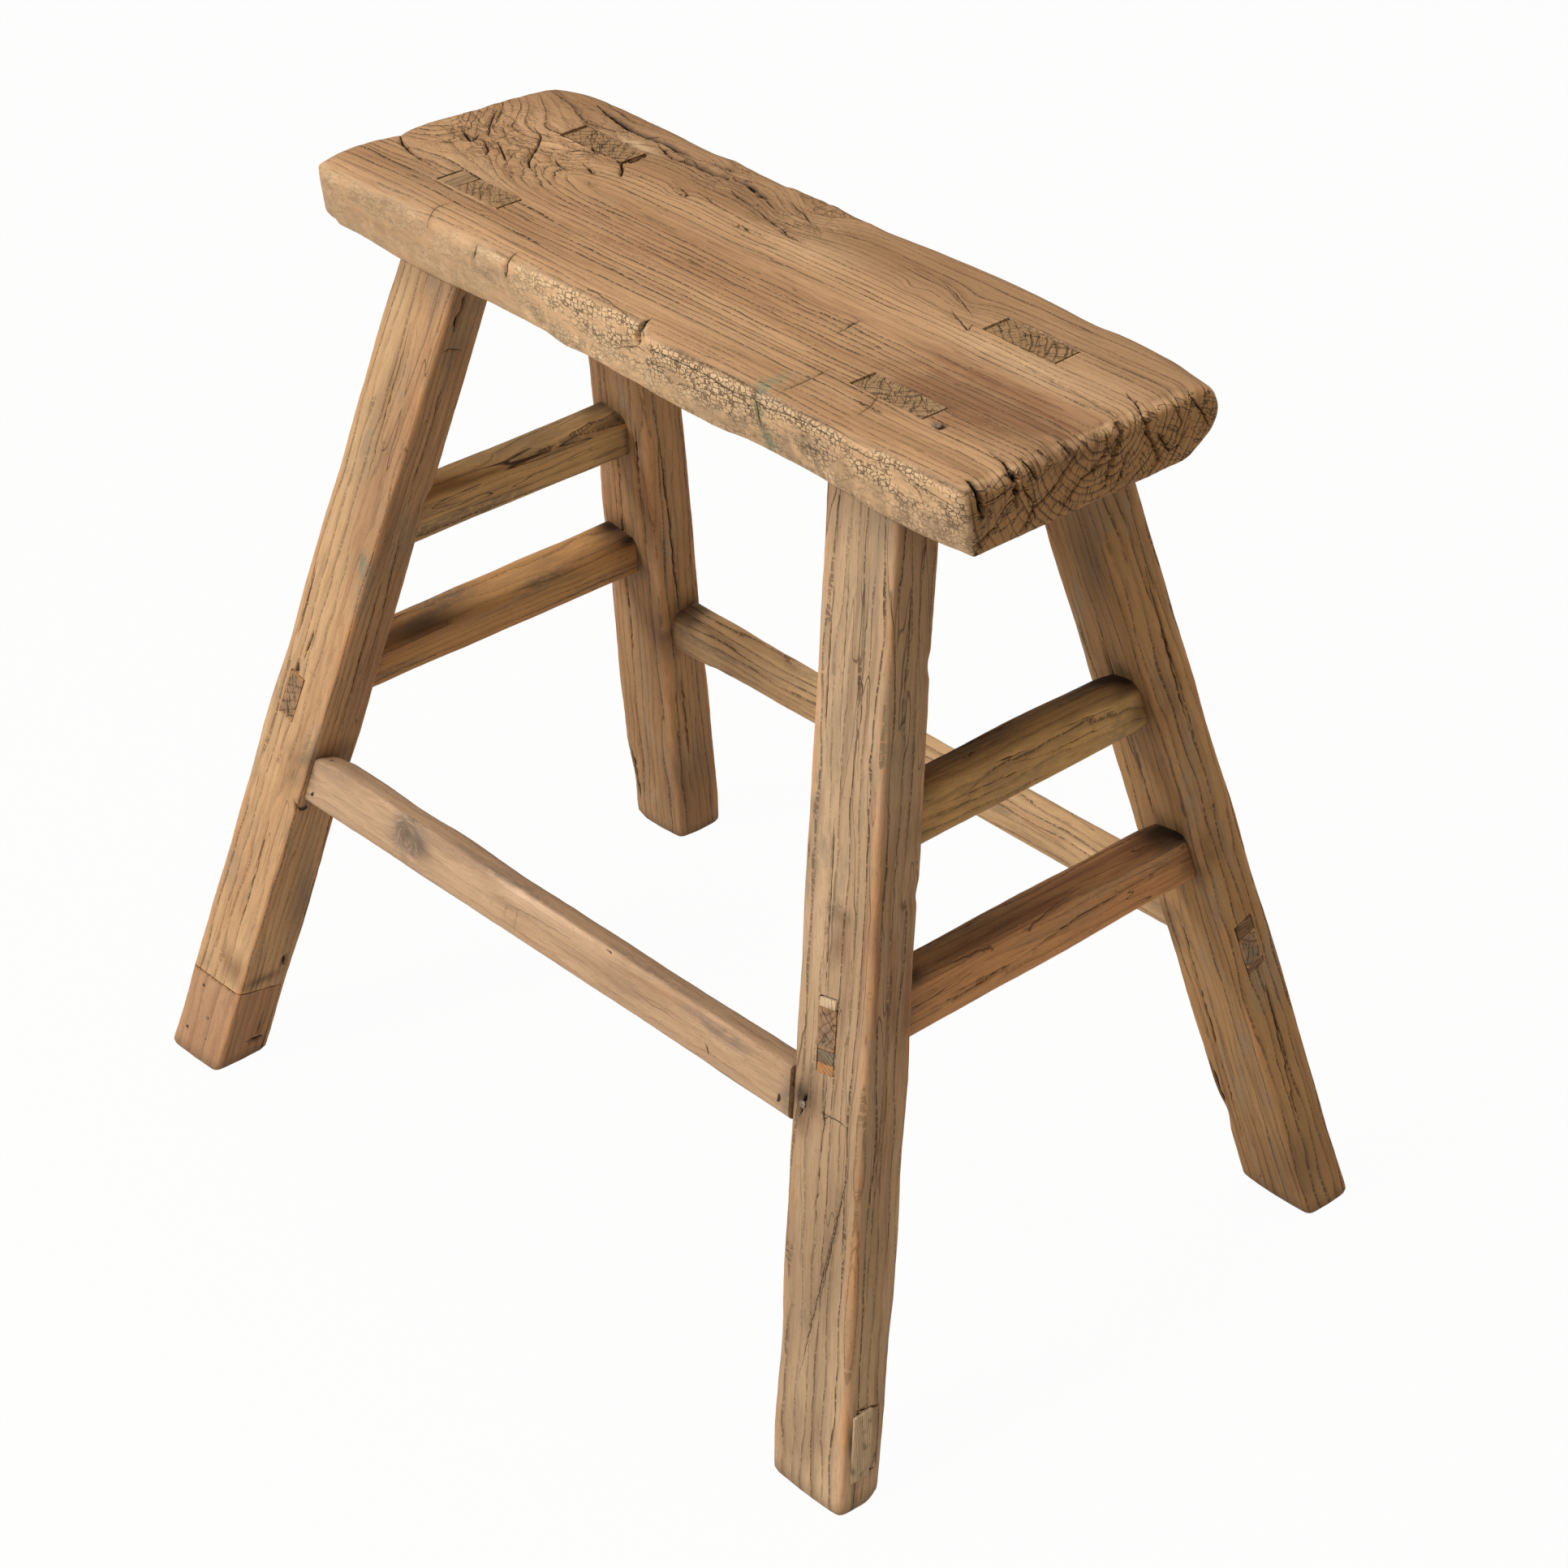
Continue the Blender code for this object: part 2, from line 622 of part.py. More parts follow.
boolean(leg_objects["front_right"], cutter("patch_space", patch_region(0.0, OVERRUN)), "DIFFERENCE")
piece("foot_patch_front_right", patch_region(FIT_GAP, 0.0), PALE_PATCH)

# Nails of the front rail: two skewed ones at its left end and one at its right end.
half_rail_width = FRONT_RAIL_WIDTH / 2
half_rail_height = FRONT_RAIL_HEIGHT / 2
into_left = Vector((-1, 0, 0))
into_right = Vector((1, 0, 0))
inwards = -front_rail.across
rail_nails = (
    ("front_left", half_rail_width / 2, half_rail_height, into_left - front_rail.up),
    ("front_left", half_rail_width, -half_rail_height / 2, into_left * RAIL_NAIL_SKEW_SHARE + inwards),
    ("front_right", half_rail_width, -half_rail_height / 2, into_right * RAIL_NAIL_SKEW_SHARE + inwards),
)
for number, (leg_name, across, up, direction) in enumerate(rail_nails, 1):
    place = front_rail.point(legs[leg_name], across, up, -RAIL_NAIL_SETBACK)
    add_nail(
        f"front_rail_nail_{number}", place, direction.normalized(), RAIL_NAIL_LENGTH,
        (front_rail_object, leg_objects[leg_name]),
    )

# A fourth one goes through the front right leg's front face into the rail's tenon.
nailed_leg = legs["front_right"]
leg_nail_height = FRONT_RAIL_LEVEL - LEG_NAIL_DROP
leg_nail_place = nailed_leg.point(
    LEG_NAIL_INSET - half_width, nailed_leg.thickness(1, leg_nail_height), leg_nail_height
)
add_nail(
    "front_rail_nail_4", leg_nail_place, inwards, LEG_NAIL_LENGTH,
    (front_rail_object, leg_objects["front_right"]),
)

# The toe is nailed to the strip behind it.
for number, (across_share, height_share) in enumerate(TOE_NAIL_SHARES, 1):
    height = TOE_HEIGHT * height_share
    place = toe_leg.point(across_share * half_width, toe_leg.thickness(1, height), height)
    add_nail(
        f"foot_toe_nail_{number}", place, Vector((0, 1, 0)), TOE_NAIL_LENGTH,
        (toe, leg_objects["front_left"]),
    )

# One nail in the seat's top, beside the front right tenon.
seat_nail_place = legs["front_right"].point(
    half_width + SEAT_NAIL_SIDE_GAP, SEAT_TENON_THICKNESS, STOOL_HEIGHT
)
add_nail("seat_nail", seat_nail_place, Vector((0, 0, -1)), SEAT_NAIL_LENGTH, (seat,))
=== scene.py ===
"""An old Chinese elm stool: a thick live-edge plank on four splayed legs, tied by six rails.

Metres, +Z up. X runs along the seat, +X to its sawn right end, and -Y is the front. Every piece
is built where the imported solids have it, then worn, cracked and stained the way the real one is.
"""

import math

import bmesh
import bpy
from mathutils import Matrix, Vector, kdtree, noise


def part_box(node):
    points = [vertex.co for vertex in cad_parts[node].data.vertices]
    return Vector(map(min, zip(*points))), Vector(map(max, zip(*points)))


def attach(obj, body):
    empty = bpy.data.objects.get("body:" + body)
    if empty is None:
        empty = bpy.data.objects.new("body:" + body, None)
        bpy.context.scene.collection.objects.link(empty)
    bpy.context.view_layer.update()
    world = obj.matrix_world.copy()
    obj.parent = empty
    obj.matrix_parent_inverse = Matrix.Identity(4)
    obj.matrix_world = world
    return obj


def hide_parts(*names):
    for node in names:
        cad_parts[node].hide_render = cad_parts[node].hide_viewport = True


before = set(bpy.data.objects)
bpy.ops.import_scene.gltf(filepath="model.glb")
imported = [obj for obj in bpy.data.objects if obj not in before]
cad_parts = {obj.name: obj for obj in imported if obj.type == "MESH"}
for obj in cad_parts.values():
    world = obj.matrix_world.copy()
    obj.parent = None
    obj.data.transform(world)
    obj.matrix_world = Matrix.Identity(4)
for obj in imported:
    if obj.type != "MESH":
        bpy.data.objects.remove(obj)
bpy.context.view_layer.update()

MM = 0.001
X_AXIS, Y_AXIS, Z_AXIS = Vector((1, 0, 0)), Vector((0, 1, 0)), Vector((0, 0, 1))

# The camera stands to the right of the stool's front, above the seat, where the photograph was
# taken. Marks that were read off the photograph are cast from here onto the wood that they lie on.
PHOTO_WIDTH = 1932
CAMERA_AZIMUTH = math.radians(46.843)
CAMERA_ELEVATION = math.radians(32.465)
CAMERA_ROLL = math.radians(0.564)
CAMERA_DISTANCE = 2.0265
CAMERA_AIM = Vector((0.0614, -0.0302, 0.25))
SENSOR_WIDTH = 36.0
CAMERA_LENS = 94.86

camera_back = Vector((
    math.sin(CAMERA_AZIMUTH) * math.cos(CAMERA_ELEVATION),
    -math.cos(CAMERA_AZIMUTH) * math.cos(CAMERA_ELEVATION),
    math.sin(CAMERA_ELEVATION),
))
camera_turn = Matrix.Rotation(CAMERA_ROLL, 3, camera_back)
camera_right = camera_turn @ Z_AXIS.cross(camera_back).normalized()
camera_up = camera_back.cross(camera_right)
camera_place = CAMERA_AIM + camera_back * CAMERA_DISTANCE

camera_data = bpy.data.cameras.new("camera")
camera_data.lens = CAMERA_LENS
camera_data.sensor_width = SENSOR_WIDTH
camera = bpy.data.objects.new("camera", camera_data)
camera.matrix_world = Matrix.Translation(camera_place) @ Matrix(
    (camera_right, camera_up, camera_back)
).transposed().to_4x4()
bpy.context.scene.collection.objects.link(camera)
bpy.context.scene.camera = camera


def cast(pixel, plane_point, plane_normal):
    """Where the sight line of a photograph pixel meets a plane."""
    scale = SENSOR_WIDTH / CAMERA_LENS / PHOTO_WIDTH
    across = (pixel[0] - PHOTO_WIDTH / 2) * scale
    up = (PHOTO_WIDTH / 2 - pixel[1]) * scale
    sight = camera_right * across + camera_up * up - camera_back
    reach = (plane_point - camera_place).dot(plane_normal) / sight.dot(plane_normal)
    return camera_place + sight * reach


# The seat is one thick elm plank, sawn square at its right end, with its bark edges worn round.
# Years of use have left ridges of hard grain, open pores, a knotty left end and long drying cracks.
seat_low, seat_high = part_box("seat")
TOP = seat_high.z
SEAT_STEPS = (0.0023, 0.0027, 0.0016)
SEAT_ARRIS = 0.0060
UNDER_ARRIS_SHARE = 0.25
FRONT_EDGE = -0.081
TOP_PLANE = (Vector((0, 0, TOP)), Z_AXIS)
END_PLANE = (Vector((seat_high.x, 0, 0)), X_AXIS)
FRONT_PLANE = (Vector((0, FRONT_EDGE, 0)), -Y_AXIS)
END_ROUND, LEFT_ROUND, LEFT_UNDER_ROUND, FRONT_ROUND = 0.0085, 0.0125, 0.0110, 0.0120


def grid_block(low, high, steps, arris=0.0):
    """A closed block whose sides are grids of about those steps."""
    bm = bmesh.new()
    bmesh.ops.create_cube(bm, size=1.0)
    bmesh.ops.scale(bm, vec=high - low, verts=bm.verts)
    bmesh.ops.translate(bm, vec=(low + high) / 2, verts=bm.verts)
    if arris:
        bmesh.ops.bevel(
            bm, geom=bm.edges[:], offset=arris, offset_type="OFFSET", affect="EDGES",
            segments=4, profile=0.5, material=-1,
        )
    for axis, step in enumerate(steps):
        size = high[axis] - low[axis]
        edges = [e for e in bm.edges if abs(e.verts[0].co[axis] - e.verts[1].co[axis]) > size / 2]
        cuts = max(1, round(size / step) - 1)
        bmesh.ops.subdivide_edges(bm, edges=edges, cuts=cuts, use_grid_fill=True)
    return bm


def turn_outwards(bm):
    """Makes every face look out of the closed mesh."""
    bmesh.ops.recalc_face_normals(bm, faces=bm.faces)
    if bm.calc_volume(signed=True) < 0:
        bmesh.ops.reverse_faces(bm, faces=bm.faces)


def curve(points, at):
    """A smooth line through given (place, value) points."""
    if at <= points[0][0]:
        return points[0][1]
    if at >= points[-1][0]:
        return points[-1][1]
    index = next(i for i, point in enumerate(points) if point[0] >= at)
    before, after = points[index - 1], points[index]
    outer_before = points[max(0, index - 2)]
    outer_after = points[min(len(points) - 1, index + 1)]
    span = after[0] - before[0]
    share = (at - before[0]) / span
    slope_before = (after[1] - outer_before[1]) / (after[0] - outer_before[0]) * span
    slope_after = (outer_after[1] - before[1]) / (outer_after[0] - before[0]) * span
    square, cube = share * share, share ** 3
    return (
        before[1] * (2 * cube - 3 * square + 1) + slope_before * (cube - 2 * square + share)
        + after[1] * (3 * square - 2 * cube) + slope_after * (cube - square)
    )


def smooth(low, high, value):
    """0 at low, 1 at high and beyond, with an easy curve between."""
    share = min(1.0, max(0.0, (value - low) / (high - low)))
    return share * share * (3 - 2 * share)


def lumps(place, scale, seed=0.0):
    """Soft noise from -1 to 1 with lumps of about that size."""
    return noise.noise(Vector((place[0] / scale + seed, place[1] / scale - seed, place[2] / scale)))


# The plank's edges, seen from above, in millimetres: (along the seat, across it), then for its
# ends (across, along).
FRONT_TOP = (
    (-236, -62), (-233, -71), (-228, -77), (-222, -79.5), (-215, -80.5), (-195, -80.5),
    (-145, -79), (-104, -80.5), (-60, -79), (-36, -78), (10, -79), (19, -79.5), (24, -84.5),
    (34, -86), (100, -85), (152, -85.5), (188, -84), (214, -84.5), (231, -84),
)
FRONT_UNDER = (
    (-236, -62), (-232, -68), (-226, -71.5), (-212, -72), (-195, -72), (-172, -74), (-128, -74.5),
    (-104, -73), (-60, -73), (-41, -76), (-28, -75), (0, -76), (40, -78), (71, -78.2), (85, -76),
    (108, -75.5), (136, -76.5), (183, -80), (208, -79.5), (222, -77.5), (231, -77),
)
BACK_TOP = (
    (-236, 46), (-229, 60), (-220, 69), (-210, 75), (-200, 78), (-192, 78.5), (-138, 78),
    (-107, 76.7), (-89, 78.3), (-53, 76.2), (-46, 78), (6, 77.5), (19, 77), (52, 79.7), (78, 80.6),
    (108, 81.3), (153, 78), (171, 79), (199, 77), (216, 73), (231, 68),
)
BACK_UNDER = (
    (-236, 30), (-215, 52), (-190, 64), (-140, 68), (-60, 66), (20, 69), (100, 69), (160, 64),
    (200, 60), (231, 54),
)
BACK_SWELL = ((-236, 4), (-190, 4), (-100, 5), (0, 5), (100, 5), (160, 8), (200, 15), (231, 21))
LEFT_TOP = (
    (-85, -231), (-77, -234), (-68, -236.5), (-59, -238.5), (-46, -239), (-34, -237), (-26, -234.5),
    (-19, -237), (-3, -238), (21, -235), (38, -234), (55, -231), (77, -227),
)
LEFT_UNDER = ((-85, -233), (-68, -237), (-55, -237.5), (-30, -235), (0, -234), (40, -228), (77, -216))
RIGHT_TOP = ((-85, 230), (-60, 230.6), (-30, 229.8), (5, 230.4), (40, 230.2), (77, 230))
RIGHT_UNDER = ((-85, 230), (-40, 229.8), (20, 230), (77, 229.5))


def rounded(across, up, half_across, half_up, radius):
    """Moves a point of a square section onto the same section with round corners."""
    past_across = abs(across) - (half_across - radius)
    past_up = abs(up) - (half_up - radius)
    if past_across <= 0 or past_up <= 0:
        return across, up
    past = math.hypot(past_across, past_up)
    if past <= radius:
        return across, up
    return (
        math.copysign(half_across - radius + past_across * radius / past, across),
        math.copysign(half_up - radius + past_up * radius / past, up),
    )


def worn_round(place, axis, side, level, radius):
    """Wears the edge between one side of the plank and its top (level 1) or underside to a round."""
    face = (seat_high if side > 0 else seat_low)[axis]
    flat = TOP if level > 0 else seat_low.z
    across = radius - abs(face - place[axis])
    up = radius - abs(flat - place.z)
    if across > 0 and up > 0:
        across, up = rounded(across, up, radius, radius, radius)
        place[axis] = face + side * (across - radius)
        place.z = flat + level * (up - radius)


def eased(place):
    """Draws the lower edges nearer to a sharp corner, and wears the ends' and the front's rounder."""
    place = place.copy()
    rise = place.z - seat_low.z
    if rise < SEAT_ARRIS and place.x > seat_low.x + LEFT_UNDER_ROUND:
        place.z = seat_low.z + rise * UNDER_ARRIS_SHARE
        for axis in (0, 1):
            for face, out in ((seat_low[axis], -1), (seat_high[axis], 1)):
                inset = (face - place[axis]) * out
                if inset < SEAT_ARRIS:
                    place[axis] = face - out * inset * UNDER_ARRIS_SHARE
    worn_round(place, 0, 1, 1, END_ROUND * (1 + 0.45 * lumps((0, place.y, 0), 0.010, 3.0)))
    worn_round(place, 0, -1, 1, LEFT_ROUND)
    worn_round(place, 0, -1, -1, LEFT_UNDER_ROUND)
    left_share = smooth(-0.03, -0.20, place.x)
    worn_round(place, 1, -1, 1, SEAT_ARRIS + (FRONT_ROUND - SEAT_ARRIS) * left_share)
    return place


def shape_plank(place):
    """Moves a point of the plain plank to where the wandering edges have it."""
    place = eased(place)
    height = (place.z - seat_low.z) / (TOP - seat_low.z)
    across = (place.y - seat_low.y) / (seat_high.y - seat_low.y)
    along = (place.x - seat_low.x) / (seat_high.x - seat_low.x)
    x_mm = place.x / MM
    steep = 1 - (1 - height) ** 1.5
    front = curve(FRONT_UNDER, x_mm) * (1 - steep) + curve(FRONT_TOP, x_mm) * steep
    back = curve(BACK_UNDER, x_mm) * (1 - height) + curve(BACK_TOP, x_mm) * height
    bulge = height ** 0.7
    back += curve(BACK_SWELL, x_mm) * 4 * bulge * (1 - bulge)
    y = place.y + (1 - across) * (front * MM - seat_low.y) + across * (back * MM - seat_high.y)
    y_mm = y / MM
    left = curve(LEFT_UNDER, y_mm) * (1 - steep) + curve(LEFT_TOP, y_mm) * steep
    right = curve(RIGHT_UNDER, y_mm) * (1 - height) + curve(RIGHT_TOP, y_mm) * height
    x = place.x + (1 - along) * (left * MM - seat_low.x) + along * (right * MM - seat_high.x)
    return Vector((x, y, place.z))


# Cracks, each traced on the photograph: its points, its half width and its depth.
TOP_CRACKS = (
    (((493, 165), (498, 178), (518, 194), (538, 206)), 0.0010, 0.0028),
    (((612, 135), (607, 145), (603, 155), (602, 166)), 0.0006, 0.0014),
    (((1152, 523), (1159, 523)), 0.0030, 0.0012),
    (((570, 160), (580, 171), (590, 163)), 0.0010, 0.0018),
    (((597, 171), (601, 181), (599, 190)), 0.0007, 0.0016),
    (((614, 173), (619, 185), (627, 198)), 0.0007, 0.0016),
    (((660, 155), (667, 166), (662, 178), (652, 196), (652, 204), (667, 213)), 0.0007, 0.0017),
    (((685, 195), (697, 208)), 0.0009, 0.0018),
    (((720, 200), (727, 205), (733, 213)), 0.0010, 0.0022),
    (((697, 163), (715, 168), (730, 182), (738, 190)), 0.0005, 0.0010),
    (((722, 152), (748, 168), (770, 176)), 0.0005, 0.0010),
    (((766, 198), (767, 206), (765, 216)), 0.0008, 0.0024),
    (((768, 200), (786, 195), (798, 188)), 0.0006, 0.0016),
    (((750, 196), (766, 200)), 0.0006, 0.0015),
    (((812, 178), (830, 194), (844, 196)), 0.0009, 0.0022),
    (((903, 236), (926, 250), (938, 254)), 0.0010, 0.0026),
    (((931, 237), (944, 246), (955, 256)), 0.0008, 0.0022),
    (((903, 274), (920, 278), (940, 289)), 0.0006, 0.0014),
    (((985, 297), (975, 292), (960, 282)), 0.0006, 0.0010),
    (((826, 228), (840, 230), (849, 238), (843, 240), (830, 234)), 0.0006, 0.0012),
    (((862, 236), (882, 249), (892, 258)), 0.0006, 0.0012),
    (((905, 278), (915, 276), (924, 284), (932, 286)), 0.0006, 0.0013),
    (((1059, 393), (1046, 400), (1033, 408)), 0.0004, 0.0008),
    (((1022, 454), (990, 470), (961, 482)), 0.0004, 0.0006),
    (((1174, 382), (1185, 396), (1196, 406)), 0.0005, 0.0012),
    (((1170, 390), (1182, 392), (1192, 404), (1200, 399)), 0.0005, 0.0012),
    (((1164, 348), (1180, 362), (1199, 388)), 0.0004, 0.0008),
    (((522, 264), (536, 256), (554, 249)), 0.0004, 0.0005),
    (((736, 130), (765, 150), (793, 166), (818, 174), (844, 188), (862, 196)), 0.0016, 0.0030),
    (((862, 196), (901, 208), (915, 212)), 0.0010, 0.0020),
    (((824, 192), (844, 197), (863, 204), (880, 213), (898, 219)), 0.0017, 0.0040),
    (((905, 220), (924, 226), (933, 236), (948, 244)), 0.0015, 0.0032),
    (((935, 258), (948, 269), (966, 283), (984, 296)), 0.0007, 0.0018),
    (((978, 250), (992, 262), (1000, 276)), 0.0006, 0.0010),
    (((752, 131), (776, 146), (803, 158)), 0.0008, 0.0018),
    (((694, 124), (716, 132), (742, 136)), 0.0005, 0.0010),
    (((1274, 456), (1323, 480), (1359, 501), (1383, 515)), 0.0008, 0.0026),
    (((1389, 484), (1402, 496), (1412, 511)), 0.0007, 0.0020),
    (((1091, 478), (1074, 498), (1056, 514)), 0.0003, 0.0005),
    (((1045, 400), (1052, 396), (1060, 394)), 0.0004, 0.0008),
    (((1106, 567), (1110, 571)), 0.0014, 0.0025),
    (((1221, 558), (1236, 566), (1250, 582)), 0.0009, 0.0025),
    (((950, 354), (975, 366), (1003, 382)), 0.0004, 0.0006),
    (((1150, 430), (1190, 452), (1232, 473)), 0.0004, 0.0007),
)
END_CRACKS = (
    (((1206, 594), (1209, 612), (1213, 640)), 0.0011, 0.0040),
    (((1236, 572), (1251, 584), (1254, 596), (1254, 620)), 0.0013, 0.0050),
    (((1254, 610), (1256, 628)), 0.0006, 0.0030),
    (((1271, 566), (1275, 580), (1279, 593)), 0.0007, 0.0025),
    (((1293, 558), (1297, 568)), 0.0007, 0.0016),
    (((1318, 546), (1322, 563)), 0.0006, 0.0018),
    (((1383, 512), (1385, 531), (1377, 554), (1368, 583), (1364, 601)), 0.0008, 0.0050),
    (((1412, 509), (1418, 538), (1428, 558), (1430, 581)), 0.0006, 0.0032),
    (((1470, 488), (1482, 506), (1494, 526)), 0.0005, 0.0020),
    (((1429, 534), (1443, 557)), 0.0006, 0.0022),
    (((1443, 557), (1455, 548), (1470, 520)), 0.0004, 0.0012),
    (((1333, 554), (1311, 589), (1298, 606), (1273, 633), (1261, 658)), 0.0006, 0.0025),
    (((1368, 536), (1364, 561), (1347, 583), (1334, 592), (1316, 619), (1303, 642)), 0.0006, 0.0025),
    (((1390, 559), (1385, 580), (1380, 600)), 0.0005, 0.0018),
    (((1230, 650), (1216, 664), (1202, 678)), 0.0007, 0.0022),
    (((1271, 599), (1241, 624), (1228, 649)), 0.0004, 0.0013),
    (((1255, 596), (1240, 608), (1213, 622)), 0.0004, 0.0013),
    (((1262, 600), (1275, 620), (1278, 640)), 0.0005, 0.0016),
    (((1450, 500), (1458, 520), (1450, 540)), 0.0004, 0.0014),
)
FRONT_CRACKS = (
    (((583, 304), (582, 312), (581, 320)), 0.0005, 0.0010),
    (((622, 316), (620, 330), (618, 345)), 0.0007, 0.0018),
    (((786, 391), (785, 400), (783, 410), (781, 428)), 0.0010, 0.0040),
    (((921, 540), (925, 545)), 0.0010, 0.0020),
    (((637, 315), (664, 332), (701, 356), (739, 377), (766, 393)), 0.0003, 0.0004),
    (((752, 431), (779, 430), (800, 442), (824, 451), (845, 460)), 0.0004, 0.0005),
    (((800, 424), (845, 443), (881, 461), (908, 481), (932, 487)), 0.0005, 0.0007),
    (((932, 487), (950, 502), (977, 508), (1010, 522), (1040, 540)), 0.0004, 0.0006),
    (((1040, 540), (1079, 563), (1109, 573), (1130, 592)), 0.0003, 0.0005),
    (((1130, 592), (1157, 608), (1184, 626)), 0.0004, 0.0006),
    (((830, 470), (860, 478), (884, 490)), 0.0003, 0.0004),
    (((905, 492), (922, 498), (934, 499)), 0.0004, 0.0006),
    (((936, 484), (937, 510), (935, 530)), 0.0005, 0.0007),
    (((1060, 620), (1090, 634), (1120, 640)), 0.0003, 0.0004),
    (((1128, 596), (1136, 604), (1140, 614)), 0.0005, 0.0008),
)
CRACK_PITCH = 0.0005
CRACK_REACH = 0.0013
OPEN_SHARE = 0.62
WORN_REACH = 0.0080
CRACK_FLARE = 1.4
SEAT_REFINED = (0.0024, 0.0012, 0.0005)
HOLE_REACH = 0.006


class Cracks:
    """Sampled crack lines: how deep the wood is open at a place, and which way it opens."""

    def __init__(self):
        self.samples = []
        self.tree = None

    def trace(self, lines, plane):
        """Adds lines that were read off the photograph, cast onto a plane: its point and normal."""
        for pixels, half_width, depth in lines:
            self.add([cast(pixel, *plane) for pixel in pixels], half_width, depth, -plane[1])

    def add(self, points, half_width, depth, inwards):
        """Samples one line, slightly shaken, that tapers to its ends."""
        runs = [(b - a).length for a, b in zip(points, points[1:])]
        total = sum(runs)
        done = 0.0
        for run, a, b in zip(runs, points, points[1:]):
            side = (b - a).cross(inwards).normalized()
            for step in range(max(1, round(run / CRACK_PITCH))):
                share = step / max(1, round(run / CRACK_PITCH))
                place = a.lerp(b, share)
                place += Vector(lumps(place, 0.006, seed) for seed in (2.7, 8.1, 5.3)) * 0.0006
                taper = min(1.0, 0.35 + 3 * min(done + run * share, total - done - run * share) / total)
                self.samples.append((place, half_width * taper, depth * taper, inwards, side))
            done += run

    def close(self):
        """Readies the search for the sample that is nearest to a place."""
        self.tree = kdtree.KDTree(len(self.samples))
        for index, sample in enumerate(self.samples):
            self.tree.insert(sample[0], index)
        self.tree.balance()
        return self

    def near(self, place):
        """How far off to the side the nearest crack's middle is, and its sample."""
        _, index, distance = self.tree.find(place)
        sample = self.samples[index]
        if distance < WORN_REACH:
            away = place - sample[0]
            distance = (away - away.dot(sample[3]) * sample[3]).length
        return distance, sample

    def opening(self, place):
        """How far, and which way, an open crack draws the wood in at a place."""
        distance, (_, half_width, depth, inwards, _) = self.near(place)
        share = distance / (half_width * CRACK_FLARE)
        return inwards * depth * (1 - min(1.0, share) ** 2)

    def dirt(self, place):
        """The dirt and painted shade in and beside an open crack: more in a wide one."""
        distance, (_, half_width, *_) = self.near(place)
        amount = min(1.1, (half_width / 0.0013) ** 1.5)
        return amount * smooth(half_width * 1.5, half_width * 0.4, distance)

    def line(self, place):
        """The nearest crack for the finish: off its middle line, how near, and its half width."""
        _, (middle, half_width, _, inwards, side) = self.near(place)
        away = place - middle
        distance = away.length
        away -= away.dot(inwards) * inwards
        off = away.dot(side)
        past = math.sqrt(max(0.0, away.length_squared - off * off))
        near = smooth(CRACK_REACH, CRACK_REACH / 2, away.length) * smooth(0.0012, 0.0005, past)
        near *= smooth(0.010, 0.006, distance)
        return Vector((off, near * MM, half_width * OPEN_SHARE)) / MM


def refine(bm, cracks, reach):
    """Divides the faces that lie within reach of a crack."""
    near = {v for v in bm.verts if cracks.near(v.co)[0] < reach}
    edges = [e for e in bm.edges if e.verts[0] in near and e.verts[1] in near]
    bmesh.ops.subdivide_edges(bm, edges=edges, cuts=1, use_grid_fill=True)


def cut_hole(bm, middle, spans, keep):
    """Opens a hole: its side planes cut the faces round it, and what lies inside goes.

    spans holds (unit direction, half size) twice. keep says which faces may be cut.
    Gives back the open edges.
    """

    def within(face, extra):
        centre = face.calc_center_median() - middle
        return all(abs(centre.dot(axis)) < half + extra for axis, half in spans)

    faces = [f for f in bm.faces if within(f, HOLE_REACH) and keep(f)]
    edges = dict.fromkeys(e for f in faces for e in f.edges)
    verts = dict.fromkeys(v for f in faces for v in f.verts)
    geom = [*faces, *edges, *verts]
    for axis, half in spans:
        for side in (-1, 1):
            cut = bmesh.ops.bisect_plane(
                bm, geom=geom, plane_co=middle + axis * half * side, plane_no=axis, dist=1e-6,
            )
            geom = cut["geom"]
    cut_faces = [item for item in geom if isinstance(item, bmesh.types.BMFace)]
    inside = [f for f in cut_faces if within(f, 0.0)]
    bmesh.ops.delete(bm, geom=inside, context="FACES")
    return [e for e in bm.edges if e.is_boundary]


def solid_copy(node):
    """A copy of one of the frame's solids, merged where its triangles meet."""
    bm = bmesh.new()
    bm.from_mesh(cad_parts[node].data)
    bmesh.ops.remove_doubles(bm, verts=bm.verts, dist=1e-6)
    return bm


def sliced(bm, place, normal):
    """Cuts a mesh along a plane, keeps both sides, and gives back the points on the cut."""
    geom = bm.verts[:] + bm.edges[:] + bm.faces[:]
    cut = bmesh.ops.bisect_plane(bm, geom=geom, plane_co=place, plane_no=normal)
    return [item for item in cut["geom_cut"] if isinstance(item, bmesh.types.BMVert)]


def cut_points(node, place, normal):
    """The outline points where a plane cuts one of the frame's solids."""
    bm = solid_copy(node)
    points = [vert.co.copy() for vert in sliced(bm, place, normal)]
    bm.free()
    return points


def cut_box(name, height):
    """The low and high corners of a leg's level section."""
    points = cut_points(f"leg_{name}", Vector((0, 0, height)), Z_AXIS)
    return [Vector(end(p[axis] for p in points) for axis in range(3)) for end in (min, max)]


